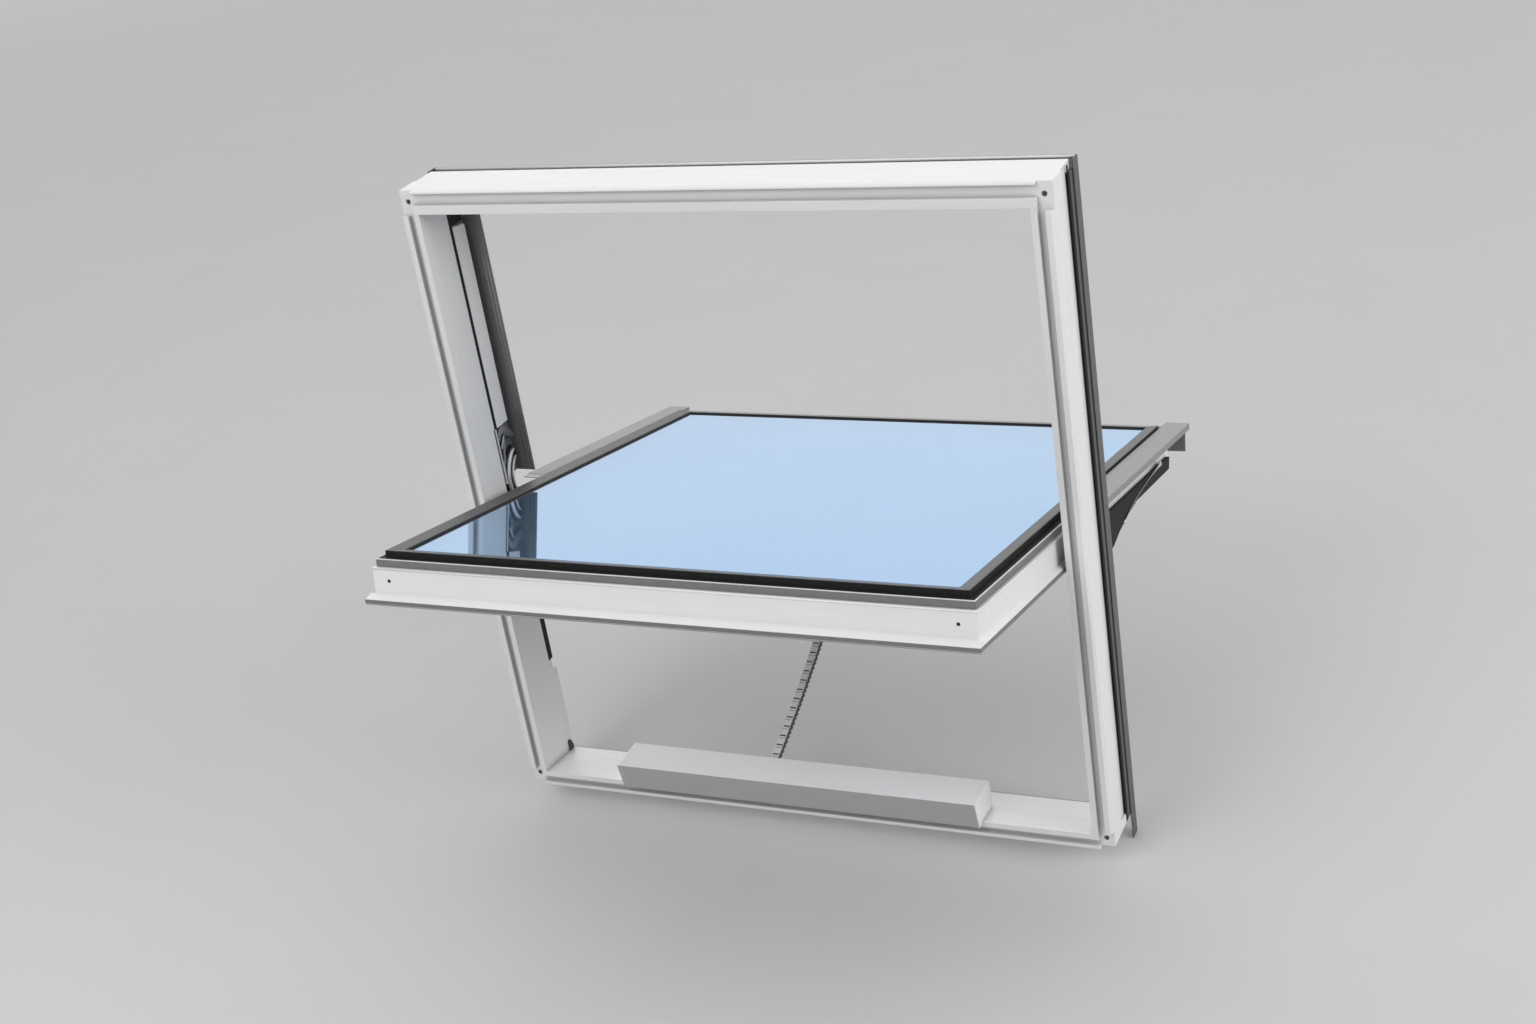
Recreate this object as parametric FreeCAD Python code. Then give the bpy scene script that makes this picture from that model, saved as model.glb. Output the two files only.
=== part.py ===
import FreeCAD, Part
import math
import os

# Centre pivot window of the roof window kind, millimetres, +Z up, room side towards -Y.
# The origin is the centre of the sill's flat underside. The sash stands open, as the chain holds it.

# Frame
FRAME_WIDTH = 1140.0
FRAME_HEIGHT = 1180.0
FRAME_DEPTH = 98.0
JAMB_FACE = 35.0
HEAD_FACE = 40.0
SILL_FACE = 26.0
SILL_FALL = 12.0

# Mouldings on the room side of the frame
RIM_HEIGHT = 10.0
RIM_WIDTH = 10.0
LIP_WIDTH = 13.0
LIP_CHAMFER = 4.0
HEAD_LIP = 4.0
HEAD_LIP_CHAMFER = 2.0
HEAD_RIM = 16.0
SILL_LIP = 10.0
SILL_LIP_DROP = 6.0
CORNER_BLOCK = 25.0
JAMB_LIP_STOP = 4.0
SIDE_RIDGE = 45.0
SIDE_STEP = 4.0
SCREW_HOLE_RADIUS = 2.5
SCREW_HOLE_DEPTH = 32.0
SCREW_INSET = 14.0
HEAD_SCREW_DROP = 20.0
SILL_SCREW_RISE = 16.0

# Seats cut in the inner side of the jambs
REBATE_WIDTH = 8.0
REBATE_DEPTH = 20.0
REBATE_START = 195.0
SEAL_GROOVE_WIDTH = 8.4
SEAL_GROOVE_DEPTH = 6.0
SEAL_PROUD = 1.0
STOP_THICKNESS = 9.0
STOP_OUTREACH = 17.0
STOP_TOP_GAP = 54.0
STOP_TOP_SLOPE = 6.0
SEAL_STRIP = 5.0
SEAL_STRIP_PLAY = 1.0
SEAL_CORNER_INSET = 2.0
POCKET_DEPTH = 10.0
POCKET_HEIGHT = 215.0
POCKET_RISE = 115.0
POCKET_WIDTH = 32.0

# Outside cladding of the frame
SHEET = 2.0
CLADDING_REACH = 23.0
CLADDING_GAP = 1.0
CLADDING_LAP = 2.0
CLADDING_BASE = 23.0
CLADDING_TAIL = 50.0
HOOD_SINK = 12.0
HOOD_LAP = 21.0
COVER_REACH = 36.0
COVER_LAP = 60.0
COVER_BEVEL = 16.0
COVER_WEB = 20.0
COVER_JOINT = 0.5
COVER_RISE = 7.0
APRON_REACH = 18.0

# Pivot and sash
PIVOT_OUT = 148.0
OPEN_ANGLE = 78.0
SASH_FACE_OUT = 113.0
SASH_SIDE_GAP = 14.0
SASH_DEPTH = 58.0
SASH_MEMBER = 60.0
SASH_TOP_GAP = 23.0
SASH_BOTTOM_GAP = 6.0
FLANGE_SIDE = 8.5
FLANGE_TOP = 17.0
FLANGE_THICKNESS = 8.0
FLANGE_COVE = 6.0
FLANGE_START = 70.0
GLASS_SEAT = 9.0
GLASS_UPSTAND = 21.0

# Glazing
OUTER_PANE = 4.0
GLASS_CAVITY = 16.0
INNER_PANE = 6.0
GLASS_BITE = 14.0
GLASS_STEP = 26.0
SPACER_WIDTH = 8.0
SPACER_INSET = 4.0

# Trim and caps on the outside of the sash
TRIM_INSET = 5.0
TRIM_HEIGHT = 13.0
TRIM_LEDGE = 12.0
CAP_INSET = 17.5
CAP_WIDTH = 22.5
CAP_HEIGHT = 25.0
CAP_INNER_HEIGHT = 21.0
MITRE_JOINT = 0.3
BOTTOM_LAP = 2.0
BOTTOM_OVERHANG = 45.0
BOTTOM_LEG_DROP = 34.0
BOTTOM_EDGE_HEIGHT = 13.0
BOTTOM_BEND_PLAY = 1.0
BOTTOM_LEG_INSET = 26.0
COVER_PLATE_HEIGHT = 20.0
COVER_PLATE_INSET = 15.0
COVER_PLATE_WIDTH = 45.0
COVER_FOLD = 12.0
COVER_TOP_END = 25.0
COVER_OVERHANG = 49.0
LOWER_SEAL_START = 60.0
LOWER_SEAL_PLAY = 18.0
LOWER_SEAL_TAPER = 4.0
LOWER_SEAL_HEIGHT = 26.0
LOWER_SEAL_OUT = 30.0
LOWER_SEAL_PROUD = 8.0

# Pivot hinges: two curved rails on the frame guide a curved tongue on the sash
RAIL_INNER = 46.0
RAIL_GROOVE_INNER = 50.0
RAIL_GROOVE_OUTER = 57.0
RAIL_OUTER = 66.0
RAIL_HEIGHT = 6.0
RAIL_LOW_ANGLE = -48.0
RAIL_HIGH_ANGLE = 64.0
INNER_HIGH_ANGLE = 58.0
HINGE_SHEET = 3.0
HINGE_MARGIN = 3.0
HINGE_END_ANGLE = 2.0
TONGUE_PLAY = 1.0
TONGUE_END_PLAY = 0.5
TONGUE_LOW_ANGLE = -46.0
TONGUE_HIGH_ANGLE = 44.0
ARM_MARGIN = 3.0
CAP_CLEARANCE = 5.0
HINGE_CAP_WIDTH = 52.0
HINGE_CAP_HEIGHT = 62.0
HINGE_CAP_ROUND = 12.0

# Chain actuator on the sill
ACTUATOR_LENGTH = 696.0
ACTUATOR_OFFSET = -11.0
ACTUATOR_TOP = 77.0
ACTUATOR_FRONT_TOP = 35.0
ACTUATOR_FRONT_BOTTOM = 24.0
ACTUATOR_SKIRT = 4.0
ACTUATOR_BACK = 47.0
ACTUATOR_CHAMFER = 5.0
ACTUATOR_PLAY = 1.0
CHAIN_OFFSET = -78.0
OUTLET_WIDTH = 48.0
OUTLET_DEPTH = 24.0
OUTLET_LOW = 34.0
OUTLET_HIGH = 72.0
OUTLET_PLATE = 3.0
OUTLET_PLAY = 0.3
OUTLET_SLOT_PLAY = 1.0
CHAIN_LEVEL = 53.0
CHAIN_SAG = 24.0
CHAIN_PITCH = 10.6
CHAIN_HEIGHT = 9.0
CHAIN_NOSE = 4.2
CHAIN_FACET = 1.9
CHAIN_PIN_RADIUS = 2.0
CHAIN_PIN_PLAY = 0.35
CHAIN_BLOCK_WIDTH = 9.8
CHAIN_PLATE = 1.5
CHAIN_PLATE_PLAY = 0.3
BRACKET_PLATE = 2.5
BRACKET_WIDTH = 34.0
BRACKET_HEIGHT = 38.0
BRACKET_EAR = 3.0
BRACKET_EAR_PLAY = 1.5
BRACKET_EAR_HEIGHT = 18.0
BRACKET_PIN_OUT = 16.0
BRACKET_NOSE = 6.0

# Values that follow from the sizes above
HALF_WIDTH = FRAME_WIDTH / 2
HEAD_UNDERSIDE = FRAME_HEIGHT - HEAD_FACE
PIVOT_Y = PIVOT_OUT - FRAME_DEPTH / 2
PIVOT_Z = FRAME_HEIGHT / 2
JAMB_INNER_X = HALF_WIDTH - JAMB_FACE
HALF_SASH = JAMB_INNER_X - SASH_SIDE_GAP
RIM_SPAN = JAMB_INNER_X + RIM_WIDTH
SASH_TOP = HEAD_UNDERSIDE - SASH_TOP_GAP - PIVOT_Z
SASH_BOTTOM = SILL_FACE + SASH_BOTTOM_GAP - PIVOT_Z
BOTTOM_GLASS_LINE = BOTTOM_LAP - SASH_BOTTOM
BOTTOM_CLADDING_END = BOTTOM_OVERHANG - SASH_BOTTOM
PANE_TOP = OUTER_PANE + GLASS_CAVITY + INNER_PANE - GLASS_SEAT
CLADDING_OUT = FRAME_DEPTH + CLADDING_REACH
COVER_OUT = FRAME_DEPTH + COVER_REACH
COVER_LOW = PIVOT_Z + COVER_RISE
HOOD_LOW = HEAD_UNDERSIDE - HOOD_LAP


def vec(x, y, z):
    return FreeCAD.Vector(x, y, z)


def depth(v):
    """Y of a point v behind the room side of the corner blocks."""
    return v - FRAME_DEPTH / 2


def sash_y(n):
    """Y of a point n outside the sash's outer wooden face, with the sash shut."""
    return depth(SASH_FACE_OUT + n)


def sash_z(s):
    """Z of a point s above the pivot, with the sash shut."""
    return PIVOT_Z + s


def polygon_face(points):
    return Part.Face(Part.makePolygon(points + points[:1]))


def prism_x(points, x0, x1):
    """Solid from a (y, z) outline between two X planes."""
    return polygon_face([vec(x0, y, z) for y, z in points]).extrude(vec(x1 - x0, 0, 0))


def prism_z(points, z0, z1):
    """Solid from an (x, y) outline between two Z planes."""
    return polygon_face([vec(x, y, z0) for x, y in points]).extrude(vec(0, 0, z1 - z0))


def prism_y(points, y0, y1):
    """Solid from an (x, z) outline between two Y planes."""
    return polygon_face([vec(x, y0, z) for x, z in points]).extrude(vec(0, y1 - y0, 0))


def box(x0, x1, y0, y1, z0, z1):
    return Part.makeBox(x1 - x0, y1 - y0, z1 - z0, vec(x0, y0, z0))


def mirrored(shape):
    return shape.mirror(vec(0, 0, 0), vec(1, 0, 0))


def opened(shape):
    """The sash piece turned from shut to the open rest position."""
    turned = shape.copy()
    turned.rotate(vec(0, PIVOT_Y, PIVOT_Z), vec(1, 0, 0), OPEN_ANGLE)
    return turned


def side_prism(points, z0, z1):
    """Right-hand solid from (u, v): u inward from the frame's edge, v out from the room side."""
    return prism_z([(HALF_WIDTH - u, depth(v)) for u, v in points], z0, z1)


def cross_prism(points, half_span):
    """Solid along X from (v, z), centred."""
    return prism_x([(depth(v), z) for v, z in points], -half_span, half_span)


def stile_prism(points, s0, s1):
    """Right-hand sash solid from (x, n) between two heights from the pivot."""
    return prism_z([(x, sash_y(n)) for x, n in points], sash_z(s0), sash_z(s1))


def rail_prism(points, half_span):
    """Sash solid along X from (s, n)."""
    return prism_x([(sash_y(n), sash_z(s)) for s, n in points], -half_span, half_span)


def pivot_point(x, radius, angle):
    """A point about the pivot axis: angle 0 towards the room, 90 straight up."""
    turn = math.radians(angle)
    return vec(x, PIVOT_Y - radius * math.cos(turn), PIVOT_Z + radius * math.sin(turn))


def ring_sector(r0, r1, low, high, x0, x1):
    """Curved bar about the pivot axis."""
    middle = (low + high) / 2
    outer = Part.Arc(*[pivot_point(x0, r1, angle) for angle in (low, middle, high)]).toShape()
    inner = Part.Arc(*[pivot_point(x0, r0, angle) for angle in (high, middle, low)]).toShape()
    top = Part.makeLine(pivot_point(x0, r1, high), pivot_point(x0, r0, high))
    bottom = Part.makeLine(pivot_point(x0, r0, low), pivot_point(x0, r1, low))
    face = Part.Face(Part.Wire([outer, top, inner, bottom]))
    return face.extrude(vec(x1 - x0, 0, 0))


def sill_level(v):
    """Height of the sill's sloping top."""
    return SILL_FACE - SILL_FALL * (v + RIM_HEIGHT) / (FRAME_DEPTH + RIM_HEIGHT)


def screw_hole(x, z):
    return Part.makeCylinder(SCREW_HOLE_RADIUS, SCREW_HOLE_DEPTH, vec(x, depth(0), z), vec(0, 1, 0))


def head():
    top = FRAME_HEIGHT
    core = prism_z([(side * x, depth(v)) for side, x, v in (
        (-1, HALF_WIDTH, 0), (1, HALF_WIDTH, 0), (1, HALF_WIDTH, SIDE_RIDGE),
        (1, HALF_WIDTH - SIDE_STEP, SIDE_RIDGE + SIDE_STEP), (1, HALF_WIDTH - SIDE_STEP, FRAME_DEPTH),
        (-1, HALF_WIDTH - SIDE_STEP, FRAME_DEPTH), (-1, HALF_WIDTH - SIDE_STEP, SIDE_RIDGE + SIDE_STEP),
        (-1, HALF_WIDTH, SIDE_RIDGE))], HEAD_UNDERSIDE, top)
    level = top - HEAD_SCREW_DROP
    holes = [screw_hole(side * (HALF_WIDTH - SCREW_INSET), level) for side in (-1, 1)]
    return core.cut(holes)


def head_moulding():
    """Two strips on the head's room side with the lining groove between them."""
    top = FRAME_HEIGHT
    rim = cross_prism([(-RIM_HEIGHT, HEAD_UNDERSIDE), (0, HEAD_UNDERSIDE),
                       (0, HEAD_UNDERSIDE + HEAD_RIM), (-RIM_HEIGHT, HEAD_UNDERSIDE + HEAD_RIM)], RIM_SPAN)
    lip = cross_prism([(-RIM_HEIGHT, top - HEAD_LIP), (0, top - HEAD_LIP), (0, top),
                       (HEAD_LIP_CHAMFER - RIM_HEIGHT, top), (-RIM_HEIGHT, top - HEAD_LIP_CHAMFER)],
                      HALF_WIDTH - CORNER_BLOCK)
    return Part.makeCompound([rim, lip])


def sill():
    back = sill_level(FRAME_DEPTH)
    core = cross_prism([(0, 0), (FRAME_DEPTH, 0), (FRAME_DEPTH, back), (0, sill_level(0))], HALF_WIDTH)
    rim = cross_prism([(-RIM_HEIGHT, SILL_FACE - RIM_WIDTH), (0, SILL_FACE - RIM_WIDTH),
                       (0, sill_level(0)), (-RIM_HEIGHT, SILL_FACE)], RIM_SPAN)
    low = -SILL_LIP_DROP
    lip = cross_prism([(LIP_CHAMFER - RIM_HEIGHT, low), (0, low), (0, low + SILL_LIP),
                       (-RIM_HEIGHT, low + SILL_LIP), (-RIM_HEIGHT, low + LIP_CHAMFER)],
                      HALF_WIDTH - CORNER_BLOCK)
    body = core.fuse([rim, lip]).removeSplitter()
    holes = [screw_hole(side * (HALF_WIDTH - SCREW_INSET), SILL_SCREW_RISE) for side in (-1, 1)]
    return body.cut(holes)


def rebate_cutter():
    """Rebate along the jamb's inner outside corner, with a round lower end."""
    front = depth(FRAME_DEPTH - REBATE_DEPTH)
    back = depth(FRAME_DEPTH)
    x0 = JAMB_INNER_X
    low = REBATE_START
    turn = math.radians(45)
    corner = vec(x0, back - REBATE_DEPTH * math.sin(turn), low + REBATE_DEPTH * (1 - math.cos(turn)))
    edges = [Part.Arc(vec(x0, front, low + REBATE_DEPTH), corner, vec(x0, back, low)).toShape(),
             Part.makeLine(vec(x0, back, low), vec(x0, back, HEAD_UNDERSIDE)),
             Part.makeLine(vec(x0, back, HEAD_UNDERSIDE), vec(x0, front, HEAD_UNDERSIDE)),
             Part.makeLine(vec(x0, front, HEAD_UNDERSIDE), vec(x0, front, low + REBATE_DEPTH))]
    return Part.Face(Part.Wire(edges)).extrude(vec(REBATE_WIDTH, 0, 0))


def pocket_cutter():
    top = PIVOT_Z + POCKET_RISE
    return box(JAMB_INNER_X, JAMB_INNER_X + POCKET_DEPTH, depth(FRAME_DEPTH - POCKET_WIDTH),
               depth(FRAME_DEPTH), top - POCKET_HEIGHT, top)


def seal_seat():
    """Depth where the upper seal's groove starts."""
    return FRAME_DEPTH - REBATE_DEPTH - SEAL_GROOVE_WIDTH


def right_jamb():
    rim_edge = JAMB_FACE - RIM_WIDTH
    body = side_prism([(0, 0), (rim_edge, 0), (rim_edge, -RIM_HEIGHT), (JAMB_FACE, -RIM_HEIGHT),
                       (JAMB_FACE, FRAME_DEPTH), (SIDE_STEP, FRAME_DEPTH),
                       (SIDE_STEP, SIDE_RIDGE + SIDE_STEP), (0, SIDE_RIDGE)], 0, HEAD_UNDERSIDE)
    lip = side_prism([(0, 0), (LIP_WIDTH, 0), (LIP_WIDTH, -RIM_HEIGHT), (LIP_CHAMFER, -RIM_HEIGHT),
                      (0, LIP_CHAMFER - RIM_HEIGHT)], SILL_FACE + JAMB_LIP_STOP, HEAD_UNDERSIDE - JAMB_LIP_STOP)
    reach = FRAME_DEPTH + RIM_HEIGHT
    below_sill_top = cross_prism([(-reach, 0), (reach, 0), (reach, sill_level(reach)),
                                  (-reach, sill_level(-reach))], HALF_WIDTH)
    seal_groove = box(JAMB_INNER_X, JAMB_INNER_X + SEAL_GROOVE_DEPTH, depth(seal_seat()),
                      depth(FRAME_DEPTH - REBATE_DEPTH), PIVOT_Z + POCKET_RISE, HEAD_UNDERSIDE)
    body = body.fuse(lip).removeSplitter()
    return body.cut([below_sill_top, rebate_cutter(), pocket_cutter(), seal_groove])


def upper_stop():
    """White strip that closes the rebate beside the upper half of the sash."""
    inner = JAMB_FACE - REBATE_WIDTH + STOP_THICKNESS
    front = FRAME_DEPTH - REBATE_DEPTH
    back = FRAME_DEPTH + STOP_OUTREACH
    low = PIVOT_Z + POCKET_RISE
    high = HEAD_UNDERSIDE - STOP_TOP_GAP
    return prism_x([(depth(front), low), (depth(back), low), (depth(back), high - STOP_TOP_SLOPE), (depth(front), high)],
                   HALF_WIDTH - inner, HALF_WIDTH - inner + STOP_THICKNESS)


def frame_seal():
    """Bulb seal at the front of the stop, a corner block above the stop and a strip in the lower rebate."""
    root = JAMB_FACE - SEAL_GROOVE_DEPTH
    front = seal_seat()
    back = FRAME_DEPTH - REBATE_DEPTH
    crown = JAMB_FACE + SEAL_PROUD
    quarter = SEAL_GROOVE_WIDTH / 4
    bulb = side_prism([(root, front), (JAMB_FACE, front), (crown, front + quarter), (crown, back - quarter),
                       (JAMB_FACE, back), (root, back)], PIVOT_Z + POCKET_RISE, HEAD_UNDERSIDE)
    floor = JAMB_FACE - REBATE_WIDTH
    corner = box(JAMB_INNER_X + SEAL_CORNER_INSET, HALF_WIDTH - floor, depth(back), depth(FRAME_DEPTH + STOP_OUTREACH),
                 HEAD_UNDERSIDE - STOP_TOP_GAP + SEAL_STRIP_PLAY, HEAD_UNDERSIDE)
    strip = side_prism([(floor, back), (floor + SEAL_STRIP, back), (floor + SEAL_STRIP, FRAME_DEPTH - SEAL_STRIP_PLAY),
                        (floor, FRAME_DEPTH - SEAL_STRIP_PLAY)], REBATE_START + REBATE_DEPTH + SEAL_STRIP_PLAY,
                       PIVOT_Z + POCKET_RISE - POCKET_HEIGHT)
    return Part.makeCompound([bulb.fuse(corner).removeSplitter(), strip])


def side_cladding():
    outer = -(CLADDING_GAP + SHEET)
    inner = -CLADDING_GAP
    leg = side_prism([(outer, FRAME_DEPTH - CLADDING_LAP), (inner, FRAME_DEPTH - CLADDING_LAP),
                      (inner, CLADDING_OUT), (outer, CLADDING_OUT)], -CLADDING_TAIL, FRAME_HEIGHT)
    base = side_prism([(inner, FRAME_DEPTH), (CLADDING_BASE, FRAME_DEPTH), (CLADDING_BASE, FRAME_DEPTH + SHEET),
                       (inner, FRAME_DEPTH + SHEET)], 0, HEAD_UNDERSIDE)
    return leg.fuse(base).removeSplitter()


def upper_cover():
    """Outside cover over the upper half of the side gap, on a web."""
    under = COVER_OUT - SHEET
    seat = FRAME_DEPTH + SHEET
    edge = CLADDING_OUT - SHEET
    return side_prism([(COVER_JOINT, edge), (COVER_JOINT + SHEET, edge), (COVER_BEVEL + SHEET / 2, under),
                       (COVER_WEB, under), (COVER_WEB, seat), (COVER_WEB + SHEET, seat),
                       (COVER_WEB + SHEET, under), (COVER_LAP, under), (COVER_LAP, COVER_OUT),
                       (COVER_BEVEL, COVER_OUT), (COVER_JOINT, edge + SHEET)], COVER_LOW, HOOD_LOW - COVER_JOINT)


def head_cladding():
    """Hood on the outside of the head: a channel with a sunken top and a raised outer edge."""
    edge = FRAME_HEIGHT
    top = FRAME_HEIGHT - HOOD_SINK
    inside = FRAME_DEPTH + SHEET
    face = CLADDING_OUT - SHEET
    seat = HEAD_UNDERSIDE + COVER_JOINT
    return cross_prism([(FRAME_DEPTH, seat), (FRAME_DEPTH, top), (face, top), (face, edge), (CLADDING_OUT, edge),
                        (CLADDING_OUT, HOOD_LOW), (face, HOOD_LOW), (face, top - SHEET), (inside, top - SHEET),
                        (inside, seat)], HALF_WIDTH + CLADDING_GAP - COVER_JOINT)


def sill_cladding():
    """Apron on the outside of the sill."""
    outside = FRAME_DEPTH + SHEET
    toe = FRAME_DEPTH + APRON_REACH
    return cross_prism([(FRAME_DEPTH, 0), (FRAME_DEPTH, sill_level(FRAME_DEPTH)),
                        (outside, sill_level(FRAME_DEPTH)), (outside, SHEET), (toe, SHEET), (toe, 0)],
                       HALF_WIDTH - CLADDING_BASE - COVER_JOINT)


def hinge_plate():
    """Dark base of the pivot hinge in the jamb's pocket."""
    floor = JAMB_INNER_X + POCKET_DEPTH
    face = floor - HINGE_SHEET
    base = ring_sector(RAIL_INNER - HINGE_MARGIN, RAIL_OUTER + HINGE_MARGIN, RAIL_LOW_ANGLE - HINGE_END_ANGLE,
                       RAIL_HIGH_ANGLE + HINGE_END_ANGLE, face, floor)
    tab = box(face, floor, depth(FRAME_DEPTH - POCKET_WIDTH), depth(FRAME_DEPTH),
              PIVOT_Z + POCKET_RISE - POCKET_HEIGHT, PIVOT_Z + POCKET_RISE)
    return base.fuse(tab).removeSplitter()


def hinge_rails():
    """Two bright crescents on the hinge's base; the sash's tongue runs between them."""
    face = JAMB_INNER_X + POCKET_DEPTH - HINGE_SHEET
    outer_rail = ring_sector(RAIL_GROOVE_OUTER, RAIL_OUTER, RAIL_LOW_ANGLE, RAIL_HIGH_ANGLE, face - RAIL_HEIGHT, face)
    inner_rail = ring_sector(RAIL_INNER, RAIL_GROOVE_INNER, RAIL_LOW_ANGLE, INNER_HIGH_ANGLE, face - RAIL_HEIGHT, face)
    return Part.makeCompound([outer_rail, inner_rail])


def hinge_cap():
    """Dark rounded cap over the top of the hinge, hollowed round the rails."""
    floor = JAMB_INNER_X + POCKET_DEPTH - HINGE_SHEET
    top = PIVOT_Z + POCKET_RISE
    front = depth(FRAME_DEPTH - REBATE_DEPTH)
    block = box(JAMB_INNER_X, floor, front, front + HINGE_CAP_WIDTH, top - HINGE_CAP_HEIGHT, top)
    upright = [edge for edge in block.Edges
               if abs(edge.Vertexes[0].X - edge.Vertexes[-1].X) > 1 and edge.CenterOfMass.z > top - 1]
    block = block.makeFillet(HINGE_CAP_ROUND, upright)
    hollow = Part.makeCylinder(RAIL_OUTER + CAP_CLEARANCE, HALF_WIDTH, vec(0, PIVOT_Y, PIVOT_Z), vec(1, 0, 0))
    hollow.translate(vec(JAMB_INNER_X - RAIL_HEIGHT, 0, 0))
    return block.cut(hollow)


def hinge_arm():
    """Sash side of the pivot hinge: a block on the stile with a tongue that runs between the rails."""
    rail_top = JAMB_INNER_X + POCKET_DEPTH - HINGE_SHEET - RAIL_HEIGHT
    inner = RAIL_GROOVE_INNER + TONGUE_PLAY
    outer = RAIL_GROOVE_OUTER - TONGUE_PLAY
    block = ring_sector(inner - ARM_MARGIN, outer + ARM_MARGIN, TONGUE_LOW_ANGLE, TONGUE_HIGH_ANGLE,
                        HALF_SASH, rail_top - TONGUE_PLAY)
    tongue = ring_sector(inner, outer, TONGUE_LOW_ANGLE, TONGUE_HIGH_ANGLE, rail_top - TONGUE_PLAY,
                         rail_top + RAIL_HEIGHT - TONGUE_END_PLAY)
    return block.fuse(tongue).removeSplitter()


def actuator_housing():
    back = ACTUATOR_BACK
    skirt = SILL_FACE - ACTUATOR_SKIRT
    lap = RIM_HEIGHT + ACTUATOR_PLAY
    body = prism_x([(depth(v), z) for v, z in (
        (-ACTUATOR_FRONT_TOP, ACTUATOR_TOP), (-ACTUATOR_FRONT_BOTTOM, skirt), (-lap, skirt), (-lap, sill_level(-lap)),
        (back, sill_level(back)), (back, ACTUATOR_TOP - ACTUATOR_CHAMFER), (back - ACTUATOR_CHAMFER, ACTUATOR_TOP))],
        ACTUATOR_OFFSET - ACTUATOR_LENGTH / 2, ACTUATOR_OFFSET + ACTUATOR_LENGTH / 2)
    half = OUTLET_WIDTH / 2
    recess = box(CHAIN_OFFSET - half, CHAIN_OFFSET + half, depth(back - OUTLET_DEPTH), depth(back),
                 OUTLET_LOW, OUTLET_HIGH)
    return body.cut(recess)


def chain_outlet():
    """Slotted plate at the bottom of the recess that the chain comes out of."""
    half = OUTLET_WIDTH / 2 - OUTLET_PLAY
    floor = depth(ACTUATOR_BACK - OUTLET_DEPTH)
    plate = box(CHAIN_OFFSET - half, CHAIN_OFFSET + half, floor, floor + OUTLET_PLATE,
                OUTLET_LOW + OUTLET_PLAY, OUTLET_HIGH - OUTLET_PLAY)
    slot_half = chain_half_width() + OUTLET_SLOT_PLAY
    slot = box(CHAIN_OFFSET - slot_half, CHAIN_OFFSET + slot_half, floor, floor + OUTLET_PLATE,
               CHAIN_LEVEL - CHAIN_HEIGHT, CHAIN_LEVEL + CHAIN_HEIGHT)
    return plate.cut(slot)


def chain_half_width():
    return CHAIN_BLOCK_WIDTH / 2 + CHAIN_PLATE_PLAY + CHAIN_PLATE


def bracket_pin():
    """The chain's end on the sash as (n, s), with the sash shut."""
    return -(SASH_DEPTH + BRACKET_PIN_OUT), CHAIN_LEVEL - PIVOT_Z


def chain_ends():
    """First and last pin of the chain as (y, z), with the sash open."""
    first = (depth(ACTUATOR_BACK - OUTLET_DEPTH) + OUTLET_PLATE + CHAIN_NOSE + CHAIN_PIN_PLAY, CHAIN_LEVEL)
    n, s = bracket_pin()
    last = opened(Part.Vertex(vec(0, sash_y(n), sash_z(s)))).Point
    return first, (last.y, last.z)


def chain_pins():
    """Pin centres along a shallow hanging arc between the chain's two ends."""
    (y0, z0), (y1, z1) = chain_ends()
    span = math.hypot(y1 - y0, z1 - z0)
    radius = (span * span / 4 + CHAIN_SAG * CHAIN_SAG) / (2 * CHAIN_SAG)
    sweep = 2 * math.asin(span / (2 * radius))
    slope = math.atan2(z1 - z0, y1 - y0)
    count = 2 * round(radius * sweep / CHAIN_PITCH / 2)
    centre_y = (y0 + y1) / 2 - (radius - CHAIN_SAG) * math.sin(slope)
    centre_z = (z0 + z1) / 2 + (radius - CHAIN_SAG) * math.cos(slope)
    turns = [slope - math.pi / 2 + sweep * (k / count - 0.5) for k in range(count + 1)]
    return [(centre_y + radius * math.cos(t), centre_z + radius * math.sin(t)) for t in turns]


def octagon(radius, y):
    points = [math.radians(22.5 + 45 * k) for k in range(8)]
    return [(y + radius * math.cos(t), radius * math.sin(t)) for t in points]


def link_outline(pitch):
    half = CHAIN_HEIGHT / 2
    return [(-CHAIN_NOSE, -CHAIN_FACET), (-CHAIN_NOSE, CHAIN_FACET), (-CHAIN_FACET, half),
            (pitch + CHAIN_FACET, half), (pitch + CHAIN_NOSE, CHAIN_FACET), (pitch + CHAIN_NOSE, -CHAIN_FACET),
            (pitch + CHAIN_FACET, -half), (-CHAIN_FACET, -half)]


def outer_link(pitch):
    """Two side plates on two pins."""
    near = CHAIN_BLOCK_WIDTH / 2 + CHAIN_PLATE_PLAY
    far = chain_half_width()
    plates = [prism_x(link_outline(pitch), side * near, side * far) for side in (-1, 1)]
    pins = [prism_x(octagon(CHAIN_PIN_RADIUS, y), -near, near) for y in (0, pitch)]
    return plates[0].fuse(plates[1:] + pins).removeSplitter()


def inner_link(pitch):
    """One block with a hole for a pin at each end."""
    half = CHAIN_BLOCK_WIDTH / 2
    holes = [prism_x(octagon(CHAIN_PIN_RADIUS + CHAIN_PIN_PLAY, y), -half, half) for y in (0, pitch)]
    return prism_x(link_outline(pitch), -half, half).cut(holes)


def drive_chain():
    pins = chain_pins()
    pitch = math.dist(pins[0], pins[1])
    kinds = (outer_link(pitch), inner_link(pitch))
    links = []
    for k, (start, end) in enumerate(zip(pins, pins[1:])):
        link = kinds[k % 2].copy()
        link.rotate(vec(0, 0, 0), vec(1, 0, 0), math.degrees(math.atan2(end[1] - start[1], end[0] - start[0])))
        link.translate(vec(CHAIN_OFFSET, start[0], start[1]))
        links.append(link)
    return Part.makeCompound(links)


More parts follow.
